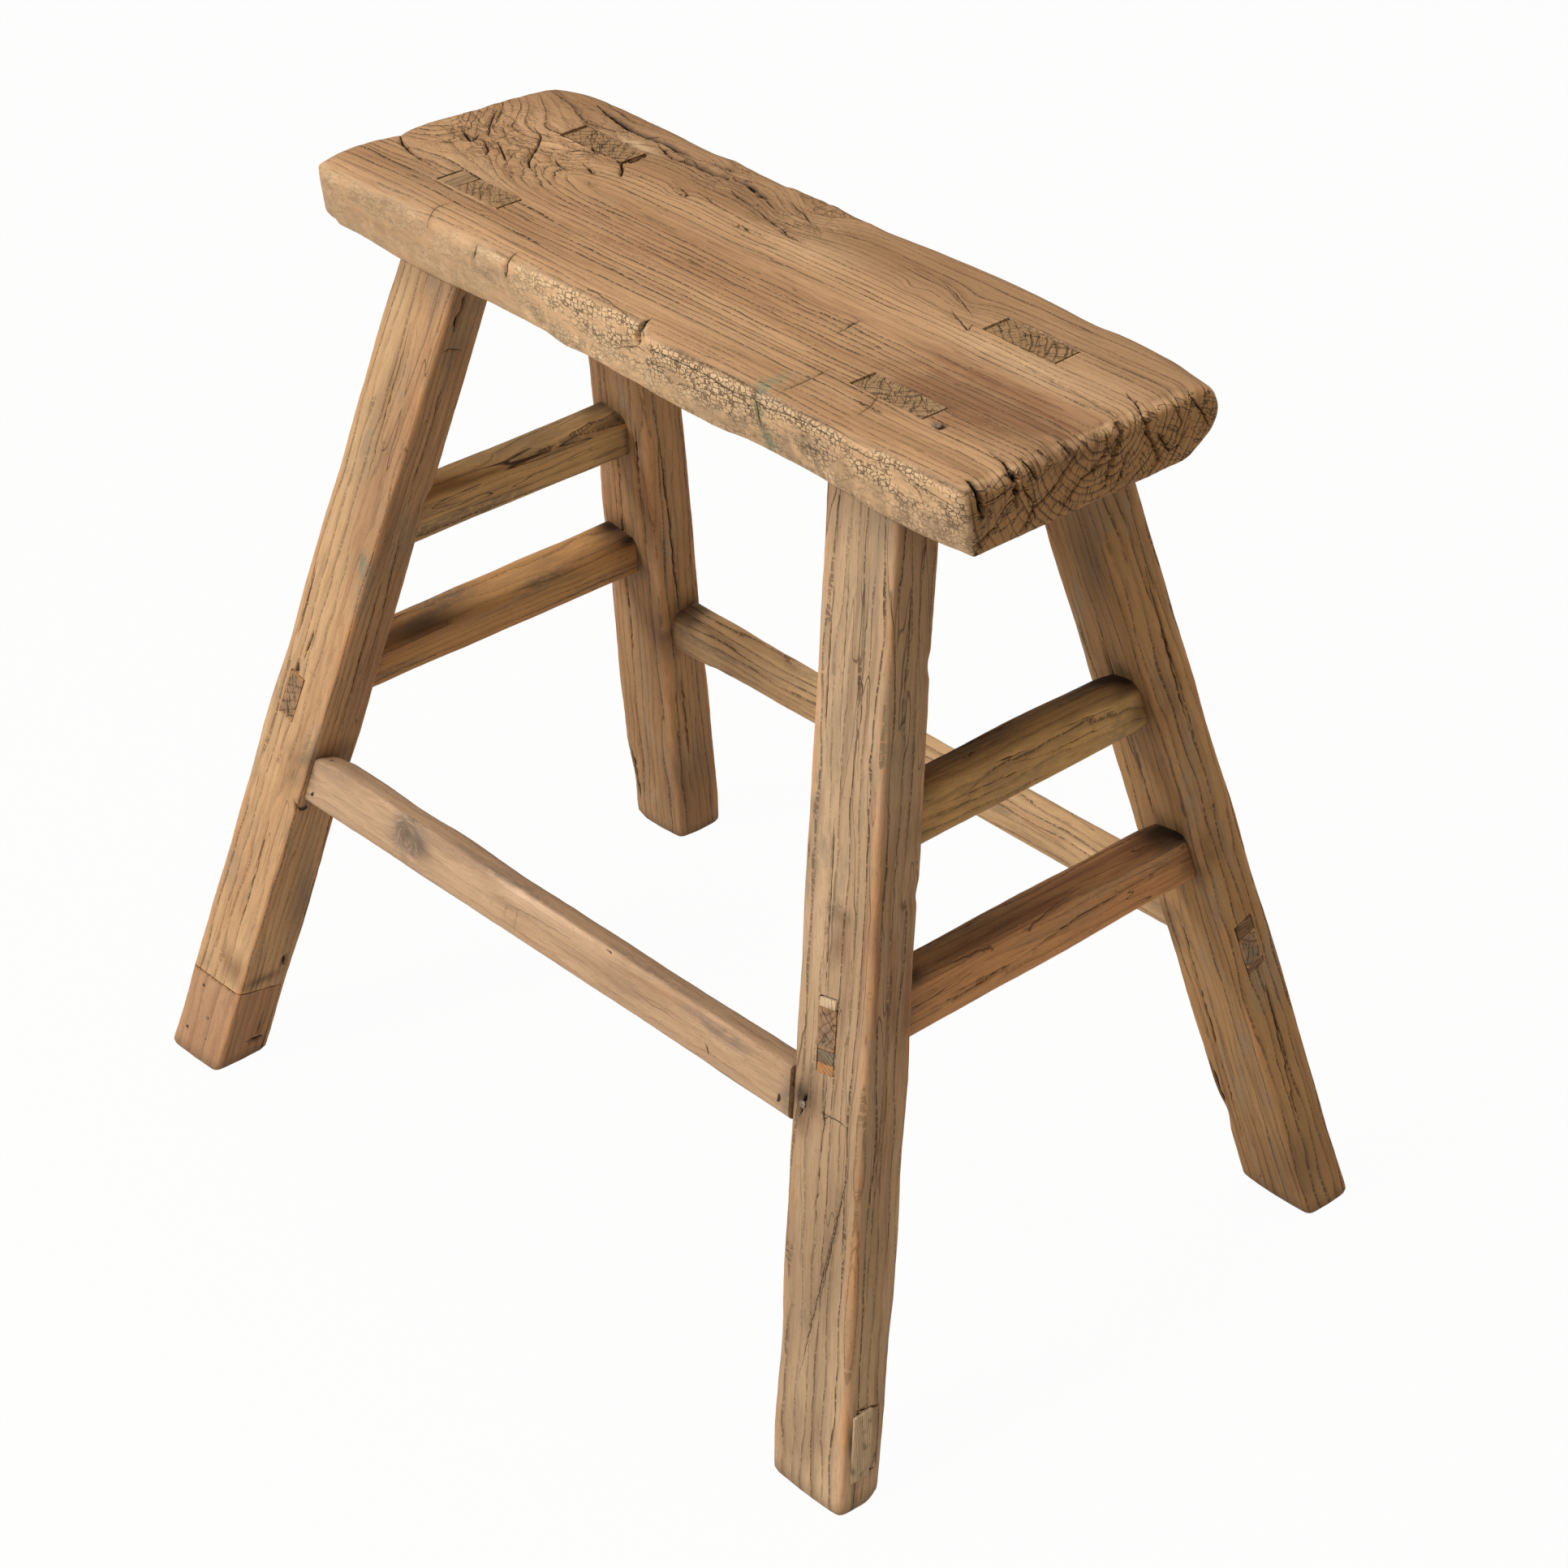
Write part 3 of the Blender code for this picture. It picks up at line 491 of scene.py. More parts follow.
# How each leg departs from its straight solid, in millimetres: its half section at the foot and at
# the head, and how far its middle lies off at the foot and at the head.
LEG_TRIMS = {
    "front_left": ((-1.2, 3.3), (0.6, 0.4), (1.6, 0.2), (-0.6, -0.6)),
    "front_right": ((2.1, 0.7), (1.0, 1.0), (0.6, 0.6), (-0.4, -0.4)),
    "back_left": ((0.0, 1.9), (1.2, -1.2), (-1.2, -0.4), (-0.3, -0.4)),
    "back_right": ((2.0, 1.6), (-0.4, 1.8), (0.3, 0.2), (-0.3, -0.4)),
}


class LegLine:
    """A leg's straight axis and level section, read from its solid at two clear heights."""

    LOW, HIGH = 0.10, 0.40

    def __init__(self, name):
        self.name = name
        self.cuts = []
        for height in (self.LOW, self.HIGH):
            low, high = cut_box(name, height)
            self.cuts.append(((low + high) / 2, (high - low) / 2))
        self.sides = [math.copysign(1, value) for value in self.cuts[0][0][:2]]
        trims = [Vector((*pair, 0)) * MM for pair in LEG_TRIMS[name]]
        self.half_trims, self.axis_trims = trims[:2], trims[2:]

    def solid_axis(self, height):
        return self.cuts[0][0].lerp(self.cuts[1][0], (height - self.LOW) / (self.HIGH - self.LOW))

    def solid_half(self, height):
        return self.cuts[0][1].lerp(self.cuts[1][1], (height - self.LOW) / (self.HIGH - self.LOW))

    def axis(self, height):
        return self.solid_axis(height) + self.axis_trims[0].lerp(self.axis_trims[1], height / TOP)

    def half(self, height):
        return self.solid_half(height) + self.half_trims[0].lerp(self.half_trims[1], height / TOP)

    def inner(self, direction, height, reach=0.0):
        """The face that looks to the stool's middle, or a plane that far inside the leg."""
        side = self.sides[direction]
        return self.axis(height)[direction] - side * (self.half(height)[direction] - reach)

    def growth(self, direction, out, height):
        """How far the face on that side lies outside the solid's."""
        moved = self.axis(height) - self.solid_axis(height)
        wider = self.half(height) - self.solid_half(height)
        return out * moved[direction] + wider[direction]

    def direction(self):
        return (self.cuts[1][0] - self.cuts[0][0]).normalized()


leg_lines = {
    name: LegLine(name) for name in ("front_left", "front_right", "back_left", "back_right")
}
SEAT_TENON_THICKNESS = 0.016
MORTISE_SIDE_GAP = 0.0004
MORTISE_END_GAP = 0.0012


def tenon_middle(line, height):
    """The middle of a leg's seat tenon, which keeps to the solid leg's inner face."""
    place = line.solid_axis(height)
    place.y -= line.sides[1] * (line.solid_half(height).y - SEAT_TENON_THICKNESS / 2)
    return place


# The plank starts as a plain block, goes to its wandering edges, and is divided finer at its cracks.
plank = grid_block(seat_low, seat_high, SEAT_STEPS, SEAT_ARRIS)
top_edges = [
    e for e in plank.edges
    if abs(e.verts[0].co.y - e.verts[1].co.y) > SEAT_STEPS[1] / 2 and e.verts[0].co.z > TOP - 1e-5
    and e.verts[1].co.z > TOP - 1e-5
]
bmesh.ops.subdivide_edges(plank, edges=top_edges, cuts=1, use_grid_fill=True)
for vert in plank.verts:
    vert.co = shape_plank(vert.co)

seat_cracks = Cracks()
seat_cracks.trace(TOP_CRACKS, TOP_PLANE)
seat_cracks.trace(END_CRACKS, END_PLANE)
seat_cracks.trace(FRONT_CRACKS, FRONT_PLANE)
seat_cracks.close()
for reach in SEAT_REFINED:
    refine(plank, seat_cracks, reach)

# Each leg's tenon has its mortise, cut to the leg's splay.
for line in leg_lines.values():
    lean = line.direction()
    spans = (
        (Y_AXIS.cross(lean).normalized(), line.solid_half(TOP).x + MORTISE_END_GAP),
        (lean.cross(X_AXIS).normalized(), SEAT_TENON_THICKNESS / 2 + MORTISE_SIDE_GAP),
    )
    rims = cut_hole(plank, tenon_middle(line, TOP), spans, lambda f: abs(f.normal.z) > 0.7)
    bmesh.ops.bridge_loops(plank, edges=rims)

# The plank's growth rings lie round a pith line at its top face. Knots push the grain aside.
PITH_Y, PITH_Z = 0.003, 0.504
BIG_KNOTS = 5
KNOTS_ON_TOP = (
    ((650, 168), 0.040, 0.030), ((592, 158), 0.020, 0.010), ((745, 172), 0.018, 0.008),
    ((1000, 262), 0.024, 0.016), ((900, 215), 0.016, 0.006), ((1124, 352), 0.006, 0.004),
    ((1190, 372), 0.012, 0.006), ((838, 234), 0.006, 0.004),
)
top_knots = [
    (cast(pixel, *TOP_PLANE), radius, push) for pixel, radius, push in KNOTS_ON_TOP
]


def plank_grain(place):
    """Along the grain, ring radius, and round the rings."""
    out = Vector((place.y - PITH_Y, place.z - PITH_Z))
    radius = out.length
    for middle, reach, push in top_knots:
        apart = (place - middle).xy.length_squared / (reach * reach)
        if apart < 9:
            radius += push * math.exp(-apart)
    radius += 0.0012 * lumps(Vector((place.x / 3, place.y, place.z)), 0.035, 3.0)
    radius += 0.0005 * lumps(Vector((place.x / 4, place.y, place.z)), 0.008, 7.0)
    return Vector((place.x, radius, 0.03 * math.atan2(out.x, -out.y + 0.01)))


# Stains and worn places on the top and the front edge: middle, half length and half width, then
# what it is.
TOP_MARKS = (
    ((1265, 452), 0.055, 0.016, "pale", 0.40), ((1195, 490), 0.034, 0.016, "red", 1.7),
    ((1262, 500), 0.050, 0.014, "red", 1.5), ((760, 300), 0.090, 0.016, "red", 0.35),
    ((1225, 500), 0.060, 0.020, "shade", 1.2),
    ((560, 215), 0.030, 0.020, "grey", 0.5), ((900, 330), 0.080, 0.018, "red", 0.25),
    ((1150, 330), 0.060, 0.020, "red", 0.30), ((470, 230), 0.030, 0.020, "red", 0.3),
    ((1010, 300), 0.030, 0.020, "pale", 0.3),
    ((786, 178), 0.012, 0.003, "pale", 1.4), ((900, 224), 0.030, 0.006, "shade", 0.5),
    ((940, 246), 0.014, 0.005, "shade", 0.5), ((585, 163), 0.008, 0.006, "shade", 0.6),
)
FRONT_MARKS = (
    ((937, 500), 0.0030, 0.0070, "green", 1.0), ((939, 530), 0.0022, 0.0100, "green", 0.8),
    ((946, 553), 0.0045, 0.0040, "green", 0.9), ((940, 478), 0.0040, 0.0030, "green", 0.7),
    ((1150, 650), 0.030, 0.010, "grey", 0.8), ((1010, 560), 0.040, 0.008, "grey", 0.5),
    ((470, 250), 0.030, 0.012, "grey", 0.7), ((600, 340), 0.030, 0.006, "grey", 0.6),
    ((1200, 640), 0.008, 0.020, "dirt", 0.35),
)
TOP_MARK_DEPTH, FRONT_MARK_DEPTH = 0.012, 0.014
seat_spots = [
    (cast(pixel, *TOP_PLANE), (length, width, TOP_MARK_DEPTH), kind, amount)
    for pixel, length, width, kind, amount in TOP_MARKS
]
seat_spots += [
    (cast(pixel, *FRONT_PLANE), (length, FRONT_MARK_DEPTH, width), kind, amount)
    for pixel, length, width, kind, amount in FRONT_MARKS
]
MARK_LAYERS = {
    "age": ("dirt", "worn", "grey"), "tint": ("pale", "red", "end"),
    "form": ("bark", "soft", "green"), "skin": ("knot", "crazed", "shade"),
}
MARK_KINDS = [kind for kinds in MARK_LAYERS.values() for kind in kinds]


def marked(place, found, marks):
    """Adds what the marks near a place say to the amounts found so far."""
    for middle, half, kind, amount in marks:
        apart = sum(((place[axis] - middle[axis]) / half[axis]) ** 2 for axis in range(3))
        if apart < 4:
            ragged = 1 + 0.5 * lumps(place, 0.008, 1.0)
            found[kind] += amount * math.exp(-apart) * ragged


def write_layers(bm, grain_at, marks_at, cracks=None):
    """Keeps each point's place in the grain and its marks on the mesh, for the wood's finish."""
    layers = {
        name: bm.verts.layers.float_vector.new(name) for name in ("grain", "crack", *MARK_LAYERS)
    }
    for vert in bm.verts:
        found = marks_at(vert)
        vert[layers["grain"]] = grain_at(vert.co)
        if cracks:
            vert[layers["crack"]] = cracks.line(vert.co)
        for name, kinds in MARK_LAYERS.items():
            vert[layers[name]] = [min(1.0, max(0.0, found[kind])) for kind in kinds]


bmesh.ops.smooth_vert(
    plank, verts=[v for v in plank.verts if v.co.z < TOP - 0.0005], factor=0.5,
    use_axis_x=True, use_axis_y=True, use_axis_z=True,
)
plank.normal_update()
DISH_DEPTH, EDGE_DROP, EDGE_DROP_REACH, DISH_WAVE = 0.0007, 0.0005, 0.012, 0.0003
RIDGE_DEPTH, KNOT_DEPTH, KNOT_LEVEL = 0.00030, 0.0030, 0.22
BARK_LUMP, BARK_DENT = 0.0005, 0.00018


def dish(place):
    """How far the seat's top has worn down."""
    x_mm, y_mm = place.x / MM, place.y / MM
    edge = MM * min(
        x_mm - curve(LEFT_TOP, y_mm), curve(RIGHT_TOP, y_mm) - x_mm,
        y_mm - curve(FRONT_TOP, x_mm), curve(BACK_TOP, x_mm) - y_mm,
    )
    middle = max(0.0, 1 - (place.y / 0.07) ** 2)
    return (
        DISH_DEPTH * middle + EDGE_DROP * smooth(EDGE_DROP_REACH, 0.0, edge)
        + DISH_WAVE * lumps(place, 0.030, 4.0)
    )


def knotty_share(place):
    """How strongly the knots at the left end, and the torn band behind, show at a place."""
    return min(1.0, sum(
        math.exp(-(place - middle).xy.length_squared / (reach * reach))
        for middle, reach, _ in top_knots[:BIG_KNOTS]
    ))


for vert in plank.verts:
    place = vert.co.copy()
    grain = plank_grain(place)
    normal = vert.normal.copy()
    top_share = smooth(0.5, 0.9, normal.z)
    under_share = smooth(-0.5, -0.9, normal.z)
    ridge = noise.noise(Vector((grain.x * 7, grain.y * 300, 0.5)))
    bark = lumps(place, 0.016, 9.0) * BARK_LUMP + lumps(place, 0.005, 6.0) * BARK_DENT
    crease = abs(lumps(Vector((grain.x, grain.y * 2.0, 0)), 0.012, 2.0))
    down = 0.0
    if top_share > 0:
        down = top_share * (
            dish(place) + RIDGE_DEPTH * ridge
            + KNOT_DEPTH * knotty_share(place) * (KNOT_LEVEL - crease)
        )
    move = -normal * (down + (1 - top_share) * (1 - 0.7 * under_share) * bark)
    vert.co = place + move + seat_cracks.opening(place)


def seat_marks(vert):
    """What has marked the plank at one of its points, and how strongly."""
    place, normal = vert.co, vert.normal
    upward = smooth(0.70, 0.90, normal.z)
    found = dict.fromkeys(MARK_KINDS, 0.0)
    marked(place, found, seat_spots)
    found["dirt"] += seat_cracks.dirt(place)
    found["shade"] += 0.20 * smooth(0.005, 0.001, seat_cracks.near(place)[0])
    found["end"] = smooth(0.2255, 0.2285, place.x) * smooth(0.30, 0.62, normal.x)
    level = smooth(0.80, 0.45, normal.z)
    found["bark"] = level * smooth(0.45, 0.75, abs(normal.y) + 0.9 * max(0.0, -normal.x))
    found["crazed"] = found["bark"] * (0.30 + 0.70 * smooth(-0.10, -0.02, place.x))
    found["crazed"] *= 0.55 + 0.45 * smooth(0.472, 0.484, place.z)
    worn_end = smooth(0.220, 0.226, place.x) * smooth(0.97, 0.88, normal.z)
    worn_end *= smooth(0.30, 0.50, normal.z)
    found["worn"] += 0.75 * worn_end * (1 + 0.6 * lumps(place, 0.006, 8.0))
    if place.y < 0:
        line = smooth(0.16, 0.0, abs(normal.z - 0.62)) * (1 + lumps(place, 0.02, 5.0))
        found["dirt"] += 0.45 * line * smooth(-0.12, -0.04, place.x)
        patch = lumps(Vector((place.x / 3, place.y, place.z)), 0.012, 5.0)
        low = smooth(0.486, 0.476, place.z)
        found["grey"] += found["bark"] * (0.50 * smooth(0.0, 0.5, patch) + 0.42 * low)
    knotty = knotty_share(place) * upward
    found["knot"] = knotty
    found["soft"] += 0.30 * smooth(-0.005, 0.045, place.y) * upward
    found["soft"] = (found["soft"] + 0.8 * found["pale"]) * (1 - knotty)
    found["shade"] += 0.62 * smooth(0.02, 0.05, place.y) * upward
    found["shade"] += found["bark"] * (0.03 + 0.45 * smooth(-0.06, -0.14, place.x))
    return found


class Finish:
    """A material's nodes. Each call adds a node and gives back what it puts out."""

    def __init__(self, name):
        self.material = bpy.data.materials.new(name)
        self.material.use_nodes = True
        self.nodes = self.material.node_tree.nodes
        self.links = self.material.node_tree.links
        self.shader = self.nodes["Principled BSDF"]

    def put(self, socket, value):
        """Sets a socket, or links it to what another node puts out."""
        if isinstance(value, bpy.types.NodeSocket):
            self.links.new(value, socket)
        elif isinstance(value, tuple) and len(value) == 3 and socket.type == "RGBA":
            socket.default_value = (*value, 1.0)
        else:
            socket.default_value = value

    def add(self, kind, values, output=0, **settings):
        node = self.nodes.new(kind)
        for key, value in settings.items():
            setattr(node, key, value)
        for key, value in values.items():
            self.put(node.inputs[key], value)
        return node.outputs[output]

    def layer(self, name):
        """What the mesh keeps at each of its points under that name."""
        return self.add("ShaderNodeAttribute", {}, "Vector", attribute_name=name)

    def object_place(self):
        return self.nodes.new("ShaderNodeTexCoord").outputs["Object"]

    def parts(self, vector):
        node = self.nodes.new("ShaderNodeSeparateXYZ")
        self.links.new(vector, node.inputs[0])
        return node.outputs[:]

    def calc(self, operation, *values):
        return self.add("ShaderNodeMath", dict(enumerate(values)), operation=operation)

    def times(self, first, *others):
        """Multiplies all of them."""
        for other in others:
            first = self.calc("MULTIPLY", first, other)
        return first

    def around(self, value, middle):
        """How far a value is from a middle one, either way."""
        return self.calc("ABSOLUTE", self.calc("SUBTRACT", value, middle))

    def stretch(self, vector, by, shift=(0, 0, 0)):
        values = {0: vector, 1: by, 2: shift}
        return self.add("ShaderNodeVectorMath", values, operation="MULTIPLY_ADD")

    def shaken(self, vector, warp, amount):
        """Bends straight cells: a place moved by some noise, more or less in each direction."""
        return self.stretch(warp, (amount, -0.8 * amount, 0.6 * amount), vector)

    def noise(self, vector, detail=2.0, roughness=0.5, distortion=0.0):
        values = {
            "Vector": vector, "Scale": 1.0, "Detail": detail, "Roughness": roughness,
            "Distortion": distortion,
        }
        return self.add("ShaderNodeTexNoise", values)

    def ramp(self, value, *stops):
        """A straight-line curve through (place, height) stops."""
        node = self.nodes.new("ShaderNodeFloatCurve")
        points = node.mapping.curves[0].points
        for point, stop in zip(points, (stops[0], stops[-1])):
            point.location = stop
        for stop in stops[1:-1]:
            points.new(*stop)
        for point in points:
            point.handle_type = "VECTOR"
        node.mapping.update()
        self.put(node.inputs["Value"], value)
        return node.outputs[0]

    def step(self, value, low, high):
        """0 at low, 1 at high and beyond, with an easy curve between."""
        values = {"Value": value, "From Min": low, "From Max": high, "To Min": 0.0, "To Max": 1.0}
        return self.add("ShaderNodeMapRange", values, interpolation_type="SMOOTHSTEP")

    def mix(self, share, first, second, blend="MIX"):
        values = {0: share, 6: first, 7: second}
        return self.add("ShaderNodeMix", values, 2, data_type="RGBA", blend_type=blend)

    def coated(self, tone, *coats):
        """A tone with others laid over it in turn: (where, how strongly, the tone laid on)."""
        for where, strength, laid in coats:
            tone = self.mix(self.times(where, strength), tone, laid)
        return tone


def colour(red, green, blue):
    """A colour as a paint chart has it, 0 to 255, turned into light."""
    def channel(value):
        share = value / 255
        return share / 12.92 if share <= 0.04045 else ((share + 0.055) / 1.055) ** 2.4

    return (channel(red), channel(green), channel(blue))


MOSS = colour(126, 138, 112)
END_RING = colour(92, 62, 38)
CRACKLE = colour(80, 56, 36)
CRACK_DARK = colour(30, 21, 15)
RELIEF_DEPTH = 0.0008


def wood(
    name, pale, middle, deep, seed, ring=0.0038, line_depth=0.75, check_share=0.5,
    dirt=colour(44, 32, 22), worn=colour(214, 160, 112), grey=colour(156, 138, 116),
    red=colour(142, 90, 58), light=colour(222, 190, 150), end=colour(176, 134, 86),
    rough=0.72, relief=1.0, band_share=0.6,
):
    """Bare old elm: tones along the grain, ring lines with open pores, checks, dirt, painted shade and
    wear.
    """
    finish = Finish(name)
    times, step, mix = finish.times, finish.step, finish.mix
    shift = (seed * 1.7, seed * 3.1, seed * 0.9)
    grain = finish.layer("grain")
    dirt_and_shade_share, worn_share, grey_share = finish.parts(finish.layer("age"))
    pale_share, red_share, end_share = finish.parts(finish.layer("tint"))
    bark_share, soft_share, green_share = finish.parts(finish.layer("form"))
    knot_share, crazed_share, shade_share = finish.parts(finish.layer("skin"))
    crack_off, crack_near, crack_half = finish.parts(finish.layer("crack"))
    object_place = finish.object_place()

    def drawn(by, detail, roughness, distortion=0.0, start=shift):
        """Noise drawn out along the grain."""
        return finish.noise(finish.stretch(grain, by, start), detail, roughness, distortion)

    def spread(by, detail, roughness):
        """Noise that keeps to the piece's own axes."""
        return finish.noise(finish.stretch(object_place, by, shift), detail, roughness)

    broad = drawn((5, 42, 30), 3.0, 0.55)
    streak = drawn((12, 240, 120), 3.0, 0.6, 0.3)
    fibre = drawn((90, 1900, 900), 2.0, 0.6)
    dash = drawn((150, 420, 200), 2.0, 0.7)
    dots = drawn((560, 700, 400), 1.0, 0.5)
    gap = drawn((16, 130, 60), 2.0, 0.6, start=shift[::-1])
    check = drawn((11, 190, 90), 1.0, 0.5, start=shift[::-1])
    speck = drawn((420, 1300, 1100), 1.0, 0.5)
    spoke = drawn((0, 60, 520), 2.0, 0.6)
    warp = spread((160, 160, 160), 2.0, 0.6)
    patchy = spread((50, 90, 120), 3.0, 0.6)

    # The year rings: a soft dark band each, with a line of open pores in it.
    drift = finish.calc("MULTIPLY_ADD", gap, 1.6, times(streak, 0.9))
    turn = finish.calc("MULTIPLY_ADD", finish.parts(grain)[1], 1 / ring, drift)
    phase = finish.calc("FRACT", turn)
    ring_number = finish.calc("ADD", finish.calc("FLOOR", turn), seed)
    bold = finish.add("ShaderNodeTexWhiteNoise", {"W": ring_number}, noise_dimensions="1D")
    bold = finish.ramp(bold, (0.0, 0.30), (0.4, 0.55), (0.8, 1.0), (1.0, 1.0))
    quiet = finish.calc("MAXIMUM", bark_share, times(soft_share, 0.8))
    plain = finish.calc("SUBTRACT", 1.0, quiet)
    core = times(step(phase, 0.05, 0.10), step(phase, 0.24, 0.16), bold)
    pores = times(core, step(dots, 0.38, 0.52), step(gap, 0.30, 0.50), plain)
    early = times(step(phase, 0.0, 0.14), step(phase, 0.55, 0.20), bold, plain)

    # Drying checks along the grain, and across the rings where the end shows.
    checks = times(
        step(finish.around(check, 0.5), 0.007, 0.001), step(broad, 0.50, 0.62), check_share, plain
    )
    spokes = times(step(finish.around(spoke, 0.5), 0.020, 0.005), end_share)

    # The bark edge's fine square crackle, and the creases between the knots' swellings.
    blocks = finish.shaken(finish.stretch(object_place, (310, 0, 400)), warp, 0.9)
    nearest, second = (
        finish.add(
            "ShaderNodeTexVoronoi", {"Vector": blocks, "Scale": 1.0}, feature=feature,
            distance="CHEBYCHEV",
        )
        for feature in ("F1", "F2")
    )
    crazing = finish.calc("SUBTRACT", second, nearest)
    crazed = times(step(crazing, 0.12, 0.04), step(patchy, 0.37, 0.55), crazed_share)
    bumps = finish.shaken(finish.stretch(object_place, (62, 100, 0)), warp, 1.3)
    crease = finish.add(
        "ShaderNodeTexVoronoi", {"Vector": bumps, "Scale": 1.0}, feature="DISTANCE_TO_EDGE",
    )
    creases = times(step(crease, 0.050, 0.010), knot_share, step(broad, 0.38, 0.52))
    pillow = times(step(crease, 0.0, 0.28), knot_share)

    # The open cracks that the mesh keeps, darkened with dirt and painted shade: dark at the middle,
    # darkest in the wide ones.
    crack = step(finish.calc("ABSOLUTE", crack_off), crack_half, times(crack_half, 0.5))
    crack_depth = finish.ramp(crack_half, (0.0, 0.45), (0.5, 0.96), (1.0, 0.98))
    crack = times(crack, step(crack_near, 0.30, 0.60), crack_depth)

    # The tones, from the broadest to the darkest lines.
    tone = finish.coated(
        mix(step(broad, 0.32, 0.68), pale, middle),
        (step(gap, 0.48, 0.70), band_share, mix(0.5, middle, grey)),
        (step(streak, 0.50, 0.80), 0.60, deep),
        (pale_share, 0.75, light),
        (times(red_share, step(streak, 0.30, 0.66)), 0.80, red),
        (end_share, 0.85, end),
        (bark_share, 0.85, mix(step(patchy, 0.35, 0.65), worn, light)),
        (worn_share, step(streak, 0.28, 0.60), worn),
        (grey_share, step(dash, 0.28, 0.58), grey),
        (green_share, step(dash, 0.35, 0.55), MOSS),
    )
    fibre_tone = finish.ramp(fibre, (0.0, 0.60), (0.5, 1.0), (1.0, 1.22))
    fibre_grey = finish.add("ShaderNodeCombineColor", dict.fromkeys(range(3), fibre_tone))
    tone = finish.coated(
        mix(1.0, tone, fibre_grey, "MULTIPLY"),
        (early, finish.calc("MULTIPLY_ADD", end_share, 0.35, 0.36), deep),
        (times(core, end_share), 0.60, END_RING),
        (pores, finish.calc("MULTIPLY_ADD", end_share, -0.5, line_depth), dirt),
        (step(speck, 0.62, 0.78), 0.25, dirt),
        (checks, 1.0, dirt),
        (crazed, 0.80, CRACKLE),
        (spokes, 0.80, dirt),
        (creases, 0.46, dirt),
        (shade_share, 0.60, deep),
        (dirt_and_shade_share, 1.0, dirt),
        (crack, 0.94, CRACK_DARK),
    )
    finish.put(finish.shader.inputs["Base Color"], tone)
    shine = finish.calc("MULTIPLY_ADD", streak, 0.18, rough - 0.09)
    finish.put(finish.shader.inputs["Roughness"], shine)
    finish.put(finish.shader.inputs["Specular IOR Level"], 0.30)

    # The fine relief.
    height = times(fibre, 0.12)
    for raised, amount in (
        (pores, -0.60), (streak, 0.35), (checks, -0.8), (early, -0.25), (crazed, -0.5),
        (spokes, -0.5), (creases, -0.6), (pillow, 1.1), (crack, -1.2),
    ):
        height = finish.calc("MULTIPLY_ADD", raised, amount, height)
    bump = finish.add(
        "ShaderNodeBump", {"Height": height, "Strength": 1.0, "Distance": RELIEF_DEPTH * relief}
    )
    finish.put(finish.shader.inputs["Normal"], bump)
    return finish.material


def add_piece(name, bm, material, slot, *nodes):
    """Puts a finished mesh in the scene, in place of the solids that it stands for."""
    bm.normal_update()
    mesh = bpy.data.meshes.new(name)
    bm.to_mesh(mesh)
    bm.free()
    mesh.materials.append(material)
    mesh.shade_smooth()
    mesh.set_sharp_from_angle(angle=math.radians(48))
    obj = bpy.data.objects.new(name, mesh)
    bpy.context.scene.collection.objects.link(obj)
    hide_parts(*nodes)
    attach(obj, "root")
    return obj


write_layers(plank, plank_grain, seat_marks, seat_cracks)
seat_wood = wood(
    "seat wood", colour(194, 154, 114), colour(170, 130, 92), colour(120, 88, 60), seed=1.0,
    line_depth=0.92, band_share=0.35, grey=colour(178, 150, 118), worn=colour(226, 184, 140),
    light=colour(236, 204, 162),
)
add_piece("plank", plank, seat_wood, "seat_elm", "seat")

# The rails' lines come before the legs, because the legs are mortised for them. Each rail lies
# square to the splay of its two legs, and its tenons are thinner than itself.
BLIND_DEPTH = 0.014
TENON_PROUD = 0.0003
JOINT_GAP = 0.0003


class RailLine:
    """A rail's middle line, section and tenons, read from its solid at mid-length.

    run is the axis that the rail lies along. tenon is its tenons' thickness and height, shift and
    rise say how far they lie off the rail's middle, and through tenons come out of their legs.
    """

    def __init__(self, node, leg_names, run, tenon, shift, rise, through):
        self.node = node
        self.legs = [leg_lines[name] for name in leg_names]
        self.run, self.cross = run, 1 - run
        self.tenon, self.shift, self.rise, self.through = tenon, shift, rise, through
        outward = self.legs[0].sides[self.cross]
        slope = sum(leg.direction()[self.cross] / leg.direction().z for leg in self.legs) / 2
        self.up = Vector((0, 0, 1))
        self.up[self.cross] = slope
        self.up.normalize()
        self.across = Vector((0, 0, -slope * outward))
        self.across[self.cross] = outward
        self.across.normalize()
        points = cut_points(node, Vector((0, 0, 0)), (X_AXIS, Y_AXIS)[run])
        reach = [[p.dot(axis) for p in points] for axis in (self.across, self.up)]
        self.half = [(max(values) - min(values)) / 2 for values in reach]
        middles = [(max(values) + min(values)) / 2 for values in reach]
        self.middle = self.across * middles[0] + self.up * middles[1]
        self.length = abs(
            self.legs[1].inner(run, self.middle.z) - self.legs[0].inner(run, self.middle.z)
        )
        self.thickness = [2 * leg.half(self.middle.z)[run] for leg in self.legs]

    def reach(self, end):
        """How far a tenon goes into its leg."""
        return self.thickness[end] + TENON_PROUD if self.through else BLIND_DEPTH

    def point(self, across, up, along):
        """A point of the rail, along it from its first shoulder. Past a shoulder it is a tenon."""
        place = self.middle + self.across * across + self.up * up
        first, last = (leg.inner(self.run, place.z) for leg in self.legs)
        if along < 0:
            place[self.run] = self.legs[0].inner(self.run, place.z, -along)
        elif along > self.length:
            place[self.run] = self.legs[1].inner(self.run, place.z, along - self.length)
        else:
            place[self.run] = first + (last - first) * along / self.length
        return place


